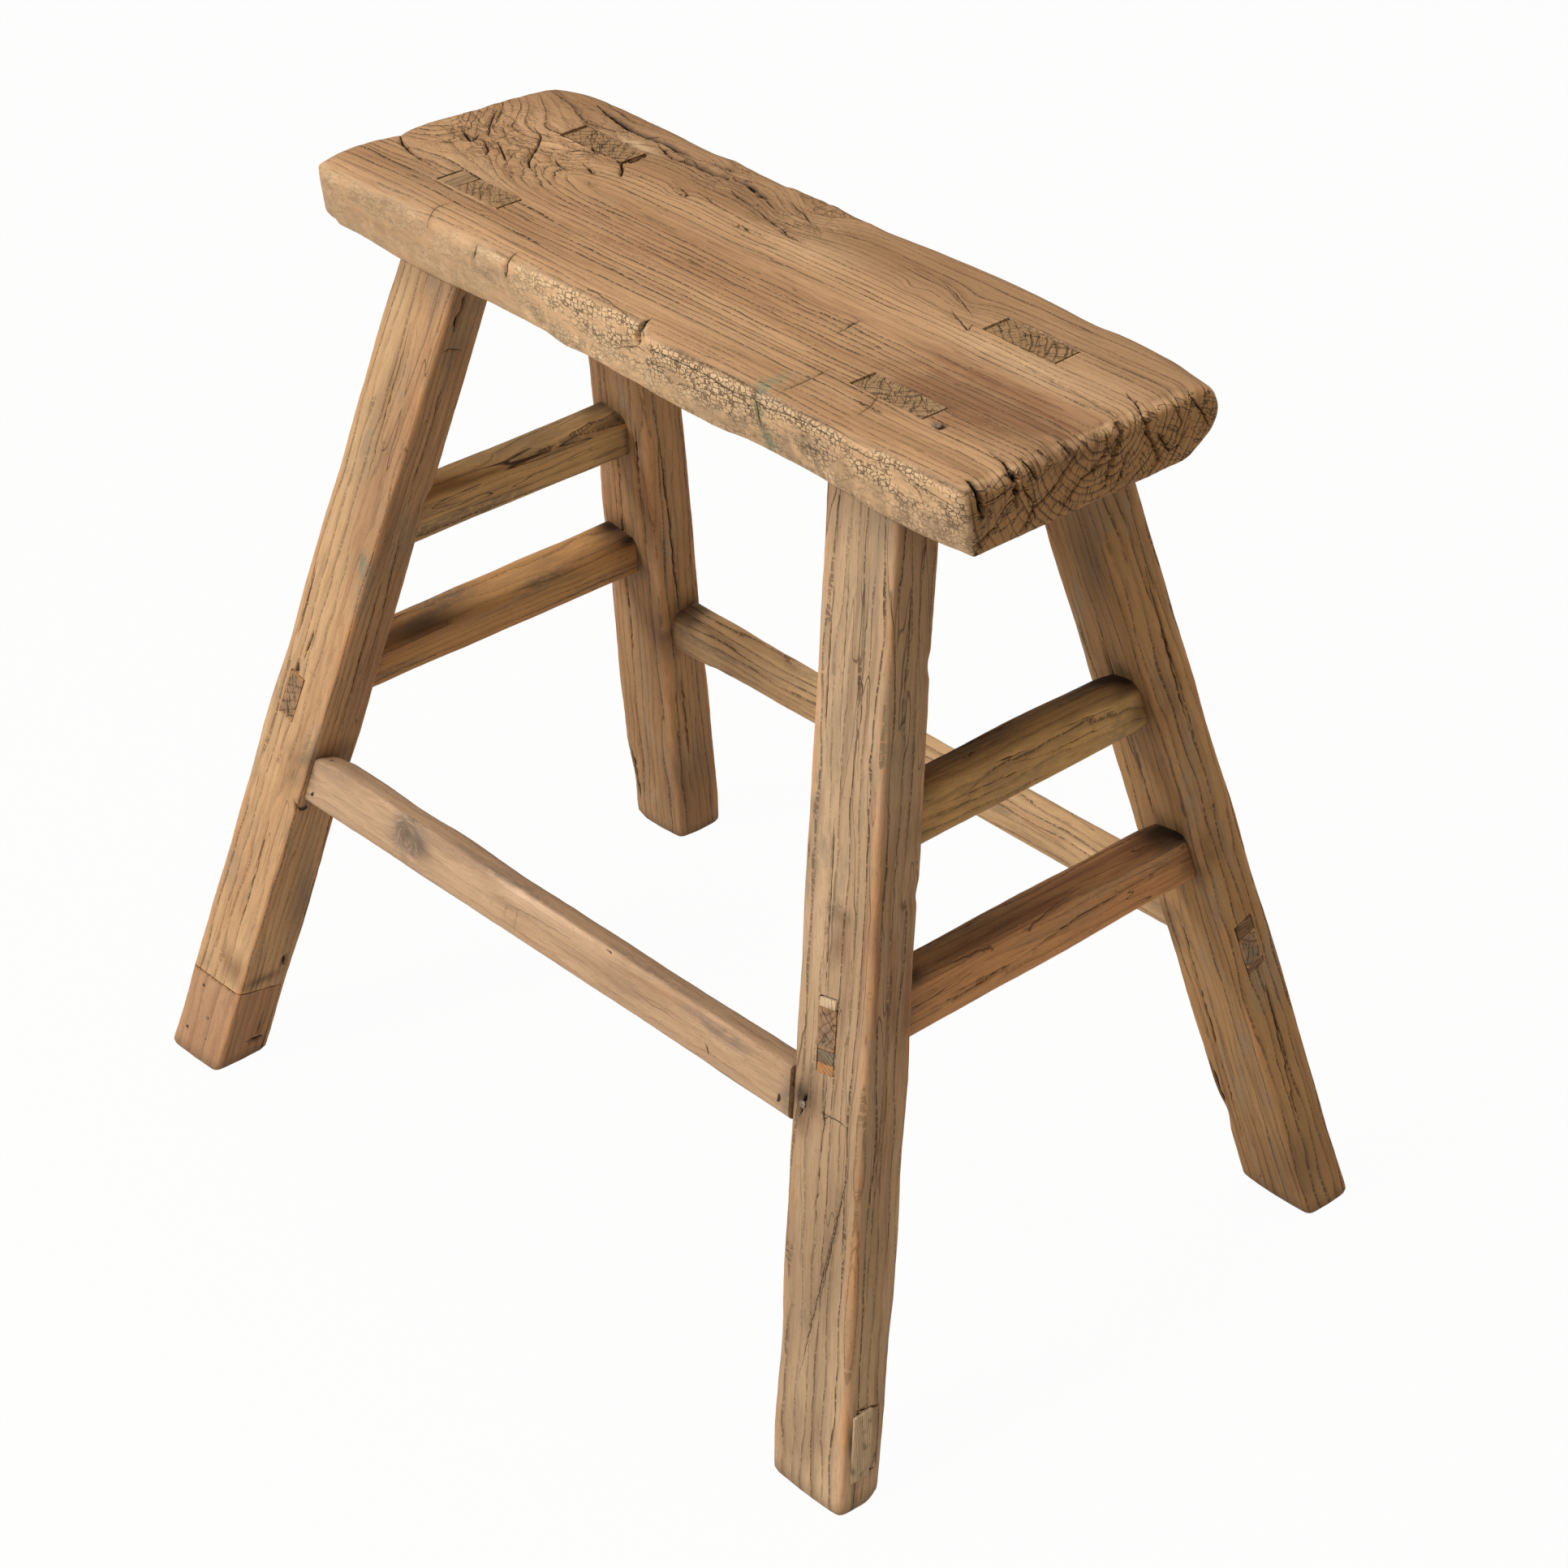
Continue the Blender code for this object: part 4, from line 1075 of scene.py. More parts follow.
END_TENON = (0.0110, 0.0200)
TALL_END_TENON = (0.0110, 0.0250)
FRONT_TENON = (0.0120, 0.0160)
BACK_TENON = (0.0120, 0.0175)
BACK_TENON_RISE = -0.0055
left_legs, right_legs = ("front_left", "back_left"), ("front_right", "back_right")
front_legs, back_legs = ("front_left", "front_right"), ("back_left", "back_right")
rail_lines = {
    line.node: line for line in (
        RailLine("end_rail_left_upper", left_legs, 1, END_TENON, -0.0044, 0.0, False),
        RailLine("end_rail_left_lower", left_legs, 1, TALL_END_TENON, -0.0044, 0.0, True),
        RailLine("end_rail_right_upper", right_legs, 1, END_TENON, -0.0031, 0.0, False),
        RailLine("end_rail_right_lower", right_legs, 1, END_TENON, -0.0062, 0.0, True),
        RailLine("long_rail_front", front_legs, 0, FRONT_TENON, 0.0, 0.0, False),
        RailLine("long_rail_back", back_legs, 0, BACK_TENON, 0.0, BACK_TENON_RISE, True),
    )
}
# Wedges and packing widen a mortise at the leg's outer face: (below the tenon, above it).
WEDGED = {
    ("end_rail_right_lower", "front_right"): (0.0110, 0.0048),
    ("long_rail_back", "back_right"): (0.0034, 0.0079),
}

# The legs are elm, sawn and planed to a flat section with eased edges, and splayed both ways. Each
# head is cut to a bare-faced tenon that comes up through the seat and ends level with its top.
LEG_STEP = 0.0022
LEG_REFINED = (0.0026, 0.0014)
LEG_ROUND = 0.0034
TENON_ROUND = 0.0008
SHOULDER = seat_low.z - 0.0002
SHOULDER_STEP = 0.0002
FOOT_WEAR, FOOT_CORNER_WEAR, FOOT_WEAR_HEIGHT = 0.0006, 0.0008, 0.004
TOE_HEIGHT = 0.0535
# Worn hollows and chips along a leg's corners: which corner, then (height, how deep) points in
# millimetres.
LEG_BITES = {
    "front_left": (
        ((1, 1), ((330, 0), (334, 1.4), (338, 1.2), (342, 0))),
    ),
    "front_right": (
        ((1, 1), ((381, 0), (386, 0.9), (390, 0.8), (395, 0))),
        ((1, 1), ((279, 0), (283.5, 1.0), (287, 0.7), (292, 0))),
        ((1, 1), ((0, 2.6), (20, 2.0), (40, 1.4), (74, 1.6), (95, 0.2), (110, 0))),
    ),
    "back_left": (
        ((-1, -1), ((0, 2.6), (18, 2.8), (30, 2.8), (46, 1.6), (64, 0))),
        ((1, -1), ((0, 0.6), (30, 1.4), (60, 0.4), (90, 0))),
    ),
    "back_right": (
        ((-1, -1), ((0, 0.2), (30, 0.4), (44, 2.2), (56, 0.6), (82, 0))),
    ),
}
BITE_REACH = 0.014
# Where the rings of each leg's tree lie, from the leg's middle.
LEG_PITHS = {
    "front_left": (0.050, 0.060), "front_right": (-0.055, 0.060),
    "back_left": (0.045, -0.050), "back_right": (-0.050, -0.055),
}
LEG_SEEDS = {"front_left": 11.0, "front_right": 23.0, "back_left": 37.0, "back_right": 51.0}


def crowd(share):
    """Draws evenly spaced lines, from -1 to 1, towards the edges."""
    return share * (1.32 - 0.32 * share * share)


class Leg:
    """Builds one leg's mesh along its line."""

    def __init__(self, name):
        self.name = name
        self.line = leg_lines[name]
        self.seed = LEG_SEEDS[name]
        self.tenon_low, self.tenon_high = cut_box(name, TOP - 0.010)

    def section(self, height):
        """The middle, half size and corner radius at a height."""
        if height > SHOULDER + SHOULDER_STEP / 4:
            middle = (self.tenon_low + self.tenon_high) / 2
            lean = self.line.direction()
            middle = middle + lean * ((height - middle.z) / lean.z)
            half = (self.tenon_high - self.tenon_low) / 2
            return middle, half.x, half.y, TENON_ROUND
        half = self.line.half(height)
        return self.line.axis(height), half.x, half.y, LEG_ROUND

    def place(self, across, through, height):
        middle, half_x, half_y, radius = self.section(height)
        side = (1 if across > 0 else 0) + (2 if through > 0 else 0)
        if radius > TENON_ROUND:
            radius *= 1.0 + 0.75 * lumps((height, side * 3.1, 0), 0.045, self.seed)
            radius += 0.0004 * smooth(0.05, 0.0, height)
        a, b = rounded(
            crowd(across) * half_x, crowd(through) * half_y, half_x, half_y, max(0.0006, radius)
        )
        return Vector((middle.x + a, middle.y + b, height))

    def wear(self, bm):
        """Rounds the sole's edges and takes the hollows out of the corners."""
        for vert in bm.verts:
            height = max(0.0, vert.co.z)
            if height > SHOULDER:
                continue
            middle, half_x, half_y, _ = self.section(height)
            a, b = vert.co.x - middle.x, vert.co.y - middle.y
            worn = max(0.0, 1 - height / FOOT_WEAR_HEIGHT)
            cornered = min(1.0, abs(a * b) / (half_x * half_y)) ** 1.5
            inset = (FOOT_WEAR + FOOT_CORNER_WEAR * cornered) * (1 - math.sqrt(1 - worn * worn))
            a *= 1 - inset / half_x
            b *= 1 - inset / half_y
            for corner, depths in LEG_BITES[self.name]:
                depth = max(0.0, curve(depths, height / MM)) * MM
                apart = math.hypot(a - corner[0] * half_x, b - corner[1] * half_y)
                bitten = depth * smooth(BITE_REACH, 0.0, apart) / math.sqrt(2)
                a -= corner[0] * bitten
                b -= corner[1] * bitten
            vert.co.x, vert.co.y = middle.x + a, middle.y + b

    def plain_mesh(self):
        low, high = Vector((-1, -1, 0)), Vector((1, 1, TOP))
        _, half_x, half_y, _ = self.section(TOP / 2)
        steps = (LEG_STEP / half_x, LEG_STEP / half_y, LEG_STEP)
        bm = grid_block(low, high, steps)
        for height in (SHOULDER, SHOULDER + SHOULDER_STEP):
            sliced(bm, (0, 0, height), Z_AXIS)
        for vert in bm.verts:
            vert.co = self.place(vert.co.x, vert.co.y, vert.co.z)
        return bm

    def grain(self, place):
        middle = self.line.axis(place.z)
        pith = LEG_PITHS[self.name]
        out = Vector((place.x - middle.x - pith[0], place.y - middle.y - pith[1]))
        radius = out.length
        radius += 0.0030 * noise.noise(Vector((place.z * 5.0, self.seed, 0.3)))
        radius += 0.0012 * lumps((place.x * 1.5, place.y * 1.5, place.z / 3), 0.030, self.seed)
        return Vector((place.z, radius, 0.05 * math.atan2(out.y, out.x)))

    def face(self, letter):
        """A plane that lies on one of the leg's faces, T for its head: its point and normal."""
        if letter == "T":
            return Vector((0, 0, TOP)), Z_AXIS
        direction, side = FACES[letter]
        middle, half_x, half_y, _ = self.section(0.2)
        foot = self.section(0.05)
        step = Vector((0, 0, 0))
        step[direction] = side * (half_x, half_y)[direction]
        step_low = Vector((0, 0, 0))
        step_low[direction] = side * foot[1 + direction]
        along = (middle + step) - (foot[0] + step_low)
        other = (Y_AXIS, X_AXIS)[direction]
        normal = along.cross(other).normalized()
        if normal[direction] * side < 0:
            normal.negate()
        return middle + step, normal


legs = {name: Leg(name) for name in leg_lines}

# Cracks, chips and nail dents that the photograph shows on the legs' front and right faces:
# points, half width, depth. F is the front face, R the right one and T the head.
LEG_CRACKS = {
    "front_left": (
        ("F", ((362, 985), (363, 1000), (366, 1024)), 0.0008, 0.0020),
        ("F", ((374, 812), (379, 796), (386, 778)), 0.0005, 0.0014),
        ("F", ((392, 690), (381, 730), (366, 786)), 0.0004, 0.0010),
        ("F", ((505, 400), (480, 486), (452, 590)), 0.0004, 0.0008),
        ("F", ((331, 1010), (318, 1060), (296, 1140)), 0.0004, 0.0010),
        ("R", ((334, 1214), (326, 1245), (319, 1272), (306, 1284)), 0.0006, 0.0012),
        ("R", ((306, 1283), (316, 1281), (326, 1276)), 0.0012, 0.0020),
        ("R", ((576, 358), (572, 372), (560, 410)), 0.0009, 0.0026),
        ("R", ((546, 436), (556, 430), (568, 432)), 0.0004, 0.0006),
        ("R", ((548, 470), (528, 540), (505, 620)), 0.0005, 0.0014),
        ("R", ((470, 720), (440, 830), (420, 905)), 0.0005, 0.0014),
        ("R", ((352, 1176), (350, 1188)), 0.0011, 0.0018),
        ("F", ((367, 815), (359, 845), (351, 874)), 0.0010, 0.0024),
        ("R", ((560, 560), (538, 640), (510, 740)), 0.0004, 0.0010),
        ("R", ((500, 640), (476, 740), (446, 850)), 0.0004, 0.0010),
        ("R", ((420, 960), (396, 1060), (370, 1150)), 0.0004, 0.0010),
        ("T", ((556, 223), (566, 226), (576, 222), (588, 218)), 0.0005, 0.0012),
        ("T", ((576, 228), (580, 234), (595, 228)), 0.0005, 0.0012),
        ("T", ((586, 242), (609, 234), (625, 236)), 0.0005, 0.0012),
        ("T", ((601, 248), (637, 240)), 0.0005, 0.0012),
        ("T", ((606, 222), (596, 236), (590, 246)), 0.0004, 0.0010),
    ),
    "front_right": (
        ("F", ((993, 1348), (988, 1360), (985, 1374)), 0.0007, 0.0020),
        ("F", ((1012, 1371), (1026, 1378), (1042, 1389)), 0.0004, 0.0007),
        ("F", ((1046, 690), (1040, 800), (1035, 900)), 0.0003, 0.0006),
        ("F", ((1072, 700), (1062, 830), (1056, 960)), 0.0003, 0.0006),
        ("F", ((1024, 760), (1016, 900)), 0.0004, 0.0010),
        ("F", ((1028, 1010), (1022, 1110), (1016, 1214)), 0.0005, 0.0014),
        ("F", ((1020, 1320), (1010, 1420), (1002, 1530)), 0.0004, 0.0010),
        ("F", ((1045, 1440), (1010, 1600)), 0.0004, 0.0008),
        ("F", ((1030, 1500), (985, 1690)), 0.0004, 0.0008),
        ("R", ((1126, 700), (1120, 800), (1110, 905)), 0.0003, 0.0007),
        ("R", ((1108, 1020), (1098, 1160)), 0.0003, 0.0007),
        ("R", ((1090, 1330), (1078, 1480), (1066, 1620)), 0.0003, 0.0007),
        ("R", ((1056, 1740), (1070, 1736), (1084, 1732)), 0.0006, 0.0014),
        ("R", ((1057, 1742), (1056, 1780), (1053, 1817)), 0.0008, 0.0016),
        ("R", ((1053, 1818), (1065, 1814), (1078, 1809)), 0.0006, 0.0012),
        ("T", ((1090, 466), (1098, 477), (1094, 489), (1082, 495)), 0.0005, 0.0012),
        ("T", ((1121, 477), (1116, 493), (1110, 502)), 0.0005, 0.0012),
        ("T", ((1137, 483), (1133, 497), (1121, 508)), 0.0005, 0.0012),
        ("T", ((1070, 464), (1066, 476), (1072, 484)), 0.0004, 0.0010),
    ),
    "back_left": (
        ("F", ((776, 920), (781, 945), (788, 985)), 0.0012, 0.0018),
        ("F", ((760, 560), (768, 680), (780, 800)), 0.0005, 0.0012),
        ("F", ((782, 520), (790, 640)), 0.0005, 0.0012),
        ("R", ((812, 540), (826, 640), (838, 760)), 0.0006, 0.0016),
        ("R", ((840, 830), (850, 930)), 0.0005, 0.0014),
        ("T", ((716, 167), (728, 165), (738, 159)), 0.0007, 0.0014),
        ("T", ((736, 181), (756, 167)), 0.0007, 0.0014),
        ("T", ((748, 187), (770, 171)), 0.0007, 0.0014),
        ("T", ((706, 162), (722, 157)), 0.0005, 0.0010),
        ("T", ((770, 197), (784, 184)), 0.0005, 0.0010),
    ),
    "back_right": (
        ("F", ((1488, 1304), (1500, 1340), (1508, 1368)), 0.0012, 0.0020),
        ("F", ((1350, 760), (1384, 880), (1420, 1000)), 0.0006, 0.0014),
        ("F", ((1450, 1120), (1490, 1260), (1530, 1400)), 0.0005, 0.0012),
        ("R", ((1412, 700), (1440, 800), (1466, 900)), 0.0006, 0.0016),
        ("R", ((1560, 1210), (1580, 1290), (1600, 1380)), 0.0006, 0.0016),
        ("T", ((1228, 398), (1236, 406), (1232, 410)), 0.0006, 0.0012),
        ("T", ((1280, 411), (1274, 429)), 0.0006, 0.0012),
        ("T", ((1299, 419), (1289, 437)), 0.0007, 0.0014),
        ("T", ((1248, 398), (1280, 412), (1311, 427)), 0.0004, 0.0010),
        ("T", ((1240, 392), (1262, 408), (1268, 424)), 0.0004, 0.0010),
    ),
}
LEG_MARKS = {
    "front_left": (
        ("F", (446, 695), 0.003, 0.010, "grey", 0.9), ("F", (450, 560), 0.006, 0.040, "grey", 0.6),
        ("F", (300, 1120), 0.010, 0.020, "red", 0.5), ("F", (287, 1192), 0.007, 0.007, "red", 1.0),
        ("F", (287, 1192), 0.007, 0.008, "shade", 1.0), ("R", (323, 1207), 0.012, 0.0030, "dirt", 0.7),
        ("F", (287, 1194), 0.005, 0.006, "dirt", 0.25),
        ("F", (356, 852), 0.005, 0.014, "shade", 0.9),
        ("R", (370, 1120), 0.010, 0.030, "dirt", 0.35), ("R", (560, 440), 0.010, 0.020, "dirt", 0.3),
        # These two marks darken the whole right face; the red one warms it as painted shade.
        ("R", (480, 740), 0.022, 0.240, "dirt", 0.24), ("R", (480, 740), 0.022, 0.240, "red", 0.35),
        ("F", (446, 695), 0.002, 0.005, "green", 1.0),
    ),
    "front_right": (
        ("F", (1000, 1360), 0.007, 0.016, "red", 1.0), ("F", (1055, 720), 0.006, 0.040, "grey", 0.7),
        ("F", (1030, 900), 0.007, 0.050, "grey", 0.5), ("F", (1060, 1120), 0.005, 0.040, "grey", 0.5),
        ("F", (980, 1770), 0.012, 0.022, "dirt", 0.25), ("R", (1100, 1500), 0.010, 0.080, "red", 0.4),
        ("F", (1034, 1160), 0.005, 0.018, "red", 0.8), ("F", (1036, 1128), 0.008, 0.004, "dirt", 0.42),
        # The second mark warms the whole right face as painted shade.
        ("F", (1032, 1160), 0.0035, 0.016, "dirt", 0.42), ("R", (1105, 1250), 0.016, 0.260, "red", 0.9),
        ("F", (1010, 1560), 0.020, 0.090, "shade", 0.70),
        ("R", (1051, 1782), 0.003, 0.014, "dirt", 0.90), ("F", (985, 1345), 0.004, 0.006, "dirt", 0.35),
    ),
    "back_left": (
        ("F", (800, 985), 0.020, 0.020, "grey", 0.4), ("R", (860, 950), 0.020, 0.030, "dirt", 0.3),
    ),
    "back_right": (
        ("R", (1435, 955), 0.008, 0.014, "grey", 1.2), ("R", (1600, 1440), 0.020, 0.024, "dirt", 0.35),
        # The last mark, at the top of the front face, is a painted shadow of the seat.
        ("F", (1400, 900), 0.010, 0.060, "grey", 0.4), ("F", (1340, 690), 0.014, 0.060, "dirt", 0.45),
    ),
}
FACES = {"F": (1, -1), "R": (0, 1)}
LEG_CRACK_SHARES = {"F": 1.0, "R": 1.0, "T": 0.55}
joints = []
for rail in rail_lines.values():
    for end, line in enumerate(rail.legs):
        place = rail.point(0.0, 0.0, 0.0 if end == 0 else rail.length)
        joints.append((line.name, place))


def cut_mortises(bm, name):
    """Chops the leg for its rails: right through for the lower and back ones, blind for others."""
    line = leg_lines[name]
    for rail in rail_lines.values():
        if line not in rail.legs:
            continue
        end = rail.legs.index(line)
        entry = rail.point(rail.shift, rail.rise, 0.0 if end == 0 else rail.length)
        half = (rail.tenon[0] / 2 + JOINT_GAP, rail.tenon[1] / 2 + JOINT_GAP)
        spans = ((rail.across, half[0]), (rail.up, half[1]))
        inwards = -line.sides[rail.run]
        rims = cut_hole(bm, entry, spans, lambda f: f.normal[rail.run] * inwards > 0.7)
        if rail.through:
            below, above = WEDGED.get((rail.node, name), (0.0, 0.0))
            middle = entry + rail.up * (above - below) / 2
            spans = ((rail.across, half[0]), (rail.up, half[1] + (above + below) / 2))
            rims = cut_hole(bm, middle, spans, lambda f: f.normal[rail.run] * inwards < -0.7)
            bmesh.ops.bridge_loops(bm, edges=rims)
            continue
        deep = bmesh.ops.extrude_edge_only(bm, edges=rims)["geom"]
        deep_edges = [item for item in deep if isinstance(item, bmesh.types.BMEdge)]
        deep_verts = [item for item in deep if isinstance(item, bmesh.types.BMVert)]
        depth = (X_AXIS, Y_AXIS)[rail.run] * (BLIND_DEPTH + JOINT_GAP) * -inwards
        bmesh.ops.translate(bm, vec=depth, verts=deep_verts)
        bmesh.ops.holes_fill(bm, edges=deep_edges, sides=0)


def joined(first, second, operation):
    """The first mesh cut by the second, which is used up."""
    parts = []
    for name, source in (("blank", first), ("tool", second)):
        mesh = bpy.data.meshes.new(name)
        source.to_mesh(mesh)
        source.free()
        obj = bpy.data.objects.new(name, mesh)
        bpy.context.scene.collection.objects.link(obj)
        parts.append(obj)
    cut = parts[0].modifiers.new("cut", "BOOLEAN")
    cut.operation, cut.solver, cut.object = operation, "EXACT", parts[1]
    result = bmesh.new()
    result.from_object(parts[0], bpy.context.evaluated_depsgraph_get())
    for obj in parts:
        mesh = obj.data
        bpy.data.objects.remove(obj)
        bpy.data.meshes.remove(mesh)
    return result


def flow(bm, cracks, seed, wave=0.0005, rough=0.00014):
    """Makes a planed surface uneven: long waves, fine dents and the open cracks."""
    bm.normal_update()
    moves = []
    for vert in bm.verts:
        place, normal = vert.co, vert.normal
        long_wave = lumps((place.x, place.y, place.z * 0.6), 0.034, seed)
        fine = lumps(place, 0.0065, seed + 3)
        move = -normal * (wave * (long_wave + 0.35) + rough * fine)
        if cracks:
            move += cracks.opening(place)
        moves.append(move)
    for vert, move in zip(bm.verts, moves):
        vert.co += move


def cracks_on(piece, lines, shares):
    """A leg's or a rail's cracks, cast onto its faces and drawn finer by each face's share."""
    cracks = Cracks()
    for face, pixels, half_width, depth in lines:
        share = shares[face]
        cracks.trace([(pixels, half_width * share, depth * share)], piece.face(face))
    return cracks.close()


def leg_marks_at(leg, cracks):
    """A function that says what has marked a leg at one of its points."""
    spots = []
    for face, pixel, half_width, half_length, kind, amount in LEG_MARKS[leg.name]:
        point, normal = leg.face(face)
        spots.append((cast(pixel, point, normal), half_width, half_length, kind, amount))
    joint_stains_and_shade = [place for name, place in joints if name == leg.name]

    def marks(vert):
        place = vert.co
        found = dict.fromkeys(MARK_KINDS, 0.0)
        for middle, half_width, half_length, kind, amount in spots:
            away = place - middle
            apart = (away.xy.length / half_width) ** 2 + (away.z / half_length) ** 2
            if apart < 5:
                found[kind] += amount * math.exp(-apart)
        # Dirt and painted shade darken the leg round each rail joint.
        for middle in joint_stains_and_shade:
            away = (place - middle).length
            found["dirt"] += 0.42 * smooth(0.030, 0.010, away) * (1 + lumps(place, 0.010, leg.seed))
        found["dirt"] += cracks.dirt(place)
        found["dirt"] += 0.35 * smooth(0.010, 0.0, place.z)
        # Darker on the tenon and for 3 cm under the seat: dirt, and painted shade under the seat.
        found["dirt"] += 0.30 * smooth(0.030, 0.0, SHOULDER - place.z)
        middle, half_x, half_y, _ = leg.section(min(place.z, SHOULDER))
        from_corner = max(half_x - abs(place.x - middle.x), half_y - abs(place.y - middle.y))
        ragged = 0.5 + 0.8 * lumps((place.x, place.y, place.z / 4), 0.012, leg.seed + 5)
        if place.z < SHOULDER:
            found["worn"] += 1.2 * smooth(0.0055, 0.0015, from_corner) * ragged
        long_patch = lumps((place.x, place.y, place.z / 6), 0.011, leg.seed + 9)
        found["end"] = 1.0 if abs(vert.normal.z) > 0.8 else 0.0
        if TOE_HEIGHT < place.z < SHOULDER:
            found["grey"] += 0.8 * smooth(0.15, 0.6, long_patch)
        return found

    return marks


LEG_TONES = {
    "front_left": (colour(210, 172, 128), colour(196, 152, 110), colour(148, 112, 80)),
    "front_right": (colour(204, 172, 136), colour(184, 152, 118), colour(118, 92, 68)),
    "back_left": (colour(188, 146, 102), colour(166, 124, 84), colour(116, 84, 56)),
    "back_right": (colour(192, 150, 102), colour(172, 130, 84), colour(122, 88, 58)),
}
LEG_PORES = {"front_left": 0.40, "front_right": 0.75, "back_left": 0.60, "back_right": 0.65}

# The front left foot's new toe: the leg's front is cut away under a sloping seam, and a thin strip
# of the old wood stays behind it.
TOE_SEAM_DROP, TOE_STRIP = 0.009, 0.005
SEAM_GAP = 0.0002
TOE_PAST_SOLE, TOE_PAST_LEG = 0.02, 0.05
HEAD_WEAR_REACH = 0.004


def toe_block(gap):
    """The space of the toe, drawn in by a gap."""
    line = leg_lines["front_left"]
    block = bmesh.new()
    bmesh.ops.create_cube(block, size=2.0)
    for vert in block.verts:
        at_front = vert.co.y < 0
        height = -TOE_PAST_SOLE
        if vert.co.z > 0:
            height = TOE_HEIGHT - gap - (0.0 if at_front else TOE_SEAM_DROP)
        reach = TOE_PAST_LEG if at_front else TOE_STRIP + gap
        x = line.axis(height).x + vert.co.x * TOE_PAST_LEG
        vert.co = (x, line.inner(1, height, reach), height)
    return block


def finish_leg(leg, bm, cracks):
    """The surface of a leg or of its toe: uneven faces, a flat sole and a head level with the seat."""
    flow(bm, cracks, leg.seed)
    for vert in bm.verts:
        if vert.co.z > TOP - HEAD_WEAR_REACH:
            vert.co.z -= dish(vert.co) * smooth(TOP - HEAD_WEAR_REACH, TOP, vert.co.z)
        vert.co.z = max(vert.co.z, 0.0)
    bm.normal_update()
    write_layers(bm, leg.grain, leg_marks_at(leg, cracks), cracks)


for name, leg in legs.items():
    cracks = cracks_on(leg, LEG_CRACKS[name], LEG_CRACK_SHARES)
    leg_mesh = leg.plain_mesh()
    if name == "front_left":
        leg_mesh = joined(leg_mesh, toe_block(-SEAM_GAP), "DIFFERENCE")
    leg.wear(leg_mesh)
    for reach in LEG_REFINED:
        refine(leg_mesh, cracks, reach)
    leg_mesh.normal_update()
    cut_mortises(leg_mesh, name)
    finish_leg(leg, leg_mesh, cracks)
    leg_wood = wood(
        f"{name} leg wood", *LEG_TONES[name], seed=leg.seed, ring=0.0040,
        line_depth=LEG_PORES[name], check_share=0.6, band_share=0.8, grey=colour(168, 144, 116),
        dirt=colour(56, 41, 28), end=colour(184, 146, 104),
    )
    add_piece(f"{name}_leg", leg_mesh, leg_wood, "leg_elm", f"leg_{name}")

toe_leg = legs["front_left"]
toe_cracks = cracks_on(toe_leg, LEG_CRACKS["front_left"], LEG_CRACK_SHARES)
toe_mesh = joined(toe_leg.plain_mesh(), toe_block(SEAM_GAP), "INTERSECT")
toe_leg.wear(toe_mesh)
finish_leg(toe_leg, toe_mesh, toe_cracks)
toe_wood = wood(
    "toe wood", colour(188, 147, 111), colour(172, 129, 93), colour(138, 96, 68), seed=61.0,
    ring=0.0050, line_depth=0.10, check_share=0.0, band_share=0.2, relief=0.5,
)
add_piece("front_left_toe", toe_mesh, toe_wood, "toe_wood", "foot_toe_front_left")

# The end rails tie each front leg to its back leg. They are old elm, hand worn, and dark beside the
# legs, with dirt where hands never reach and with painted shade. The lower pair's tenons go right
# through the legs.
RAIL_STEPS = (0.0020, 0.0028, 0.0020)
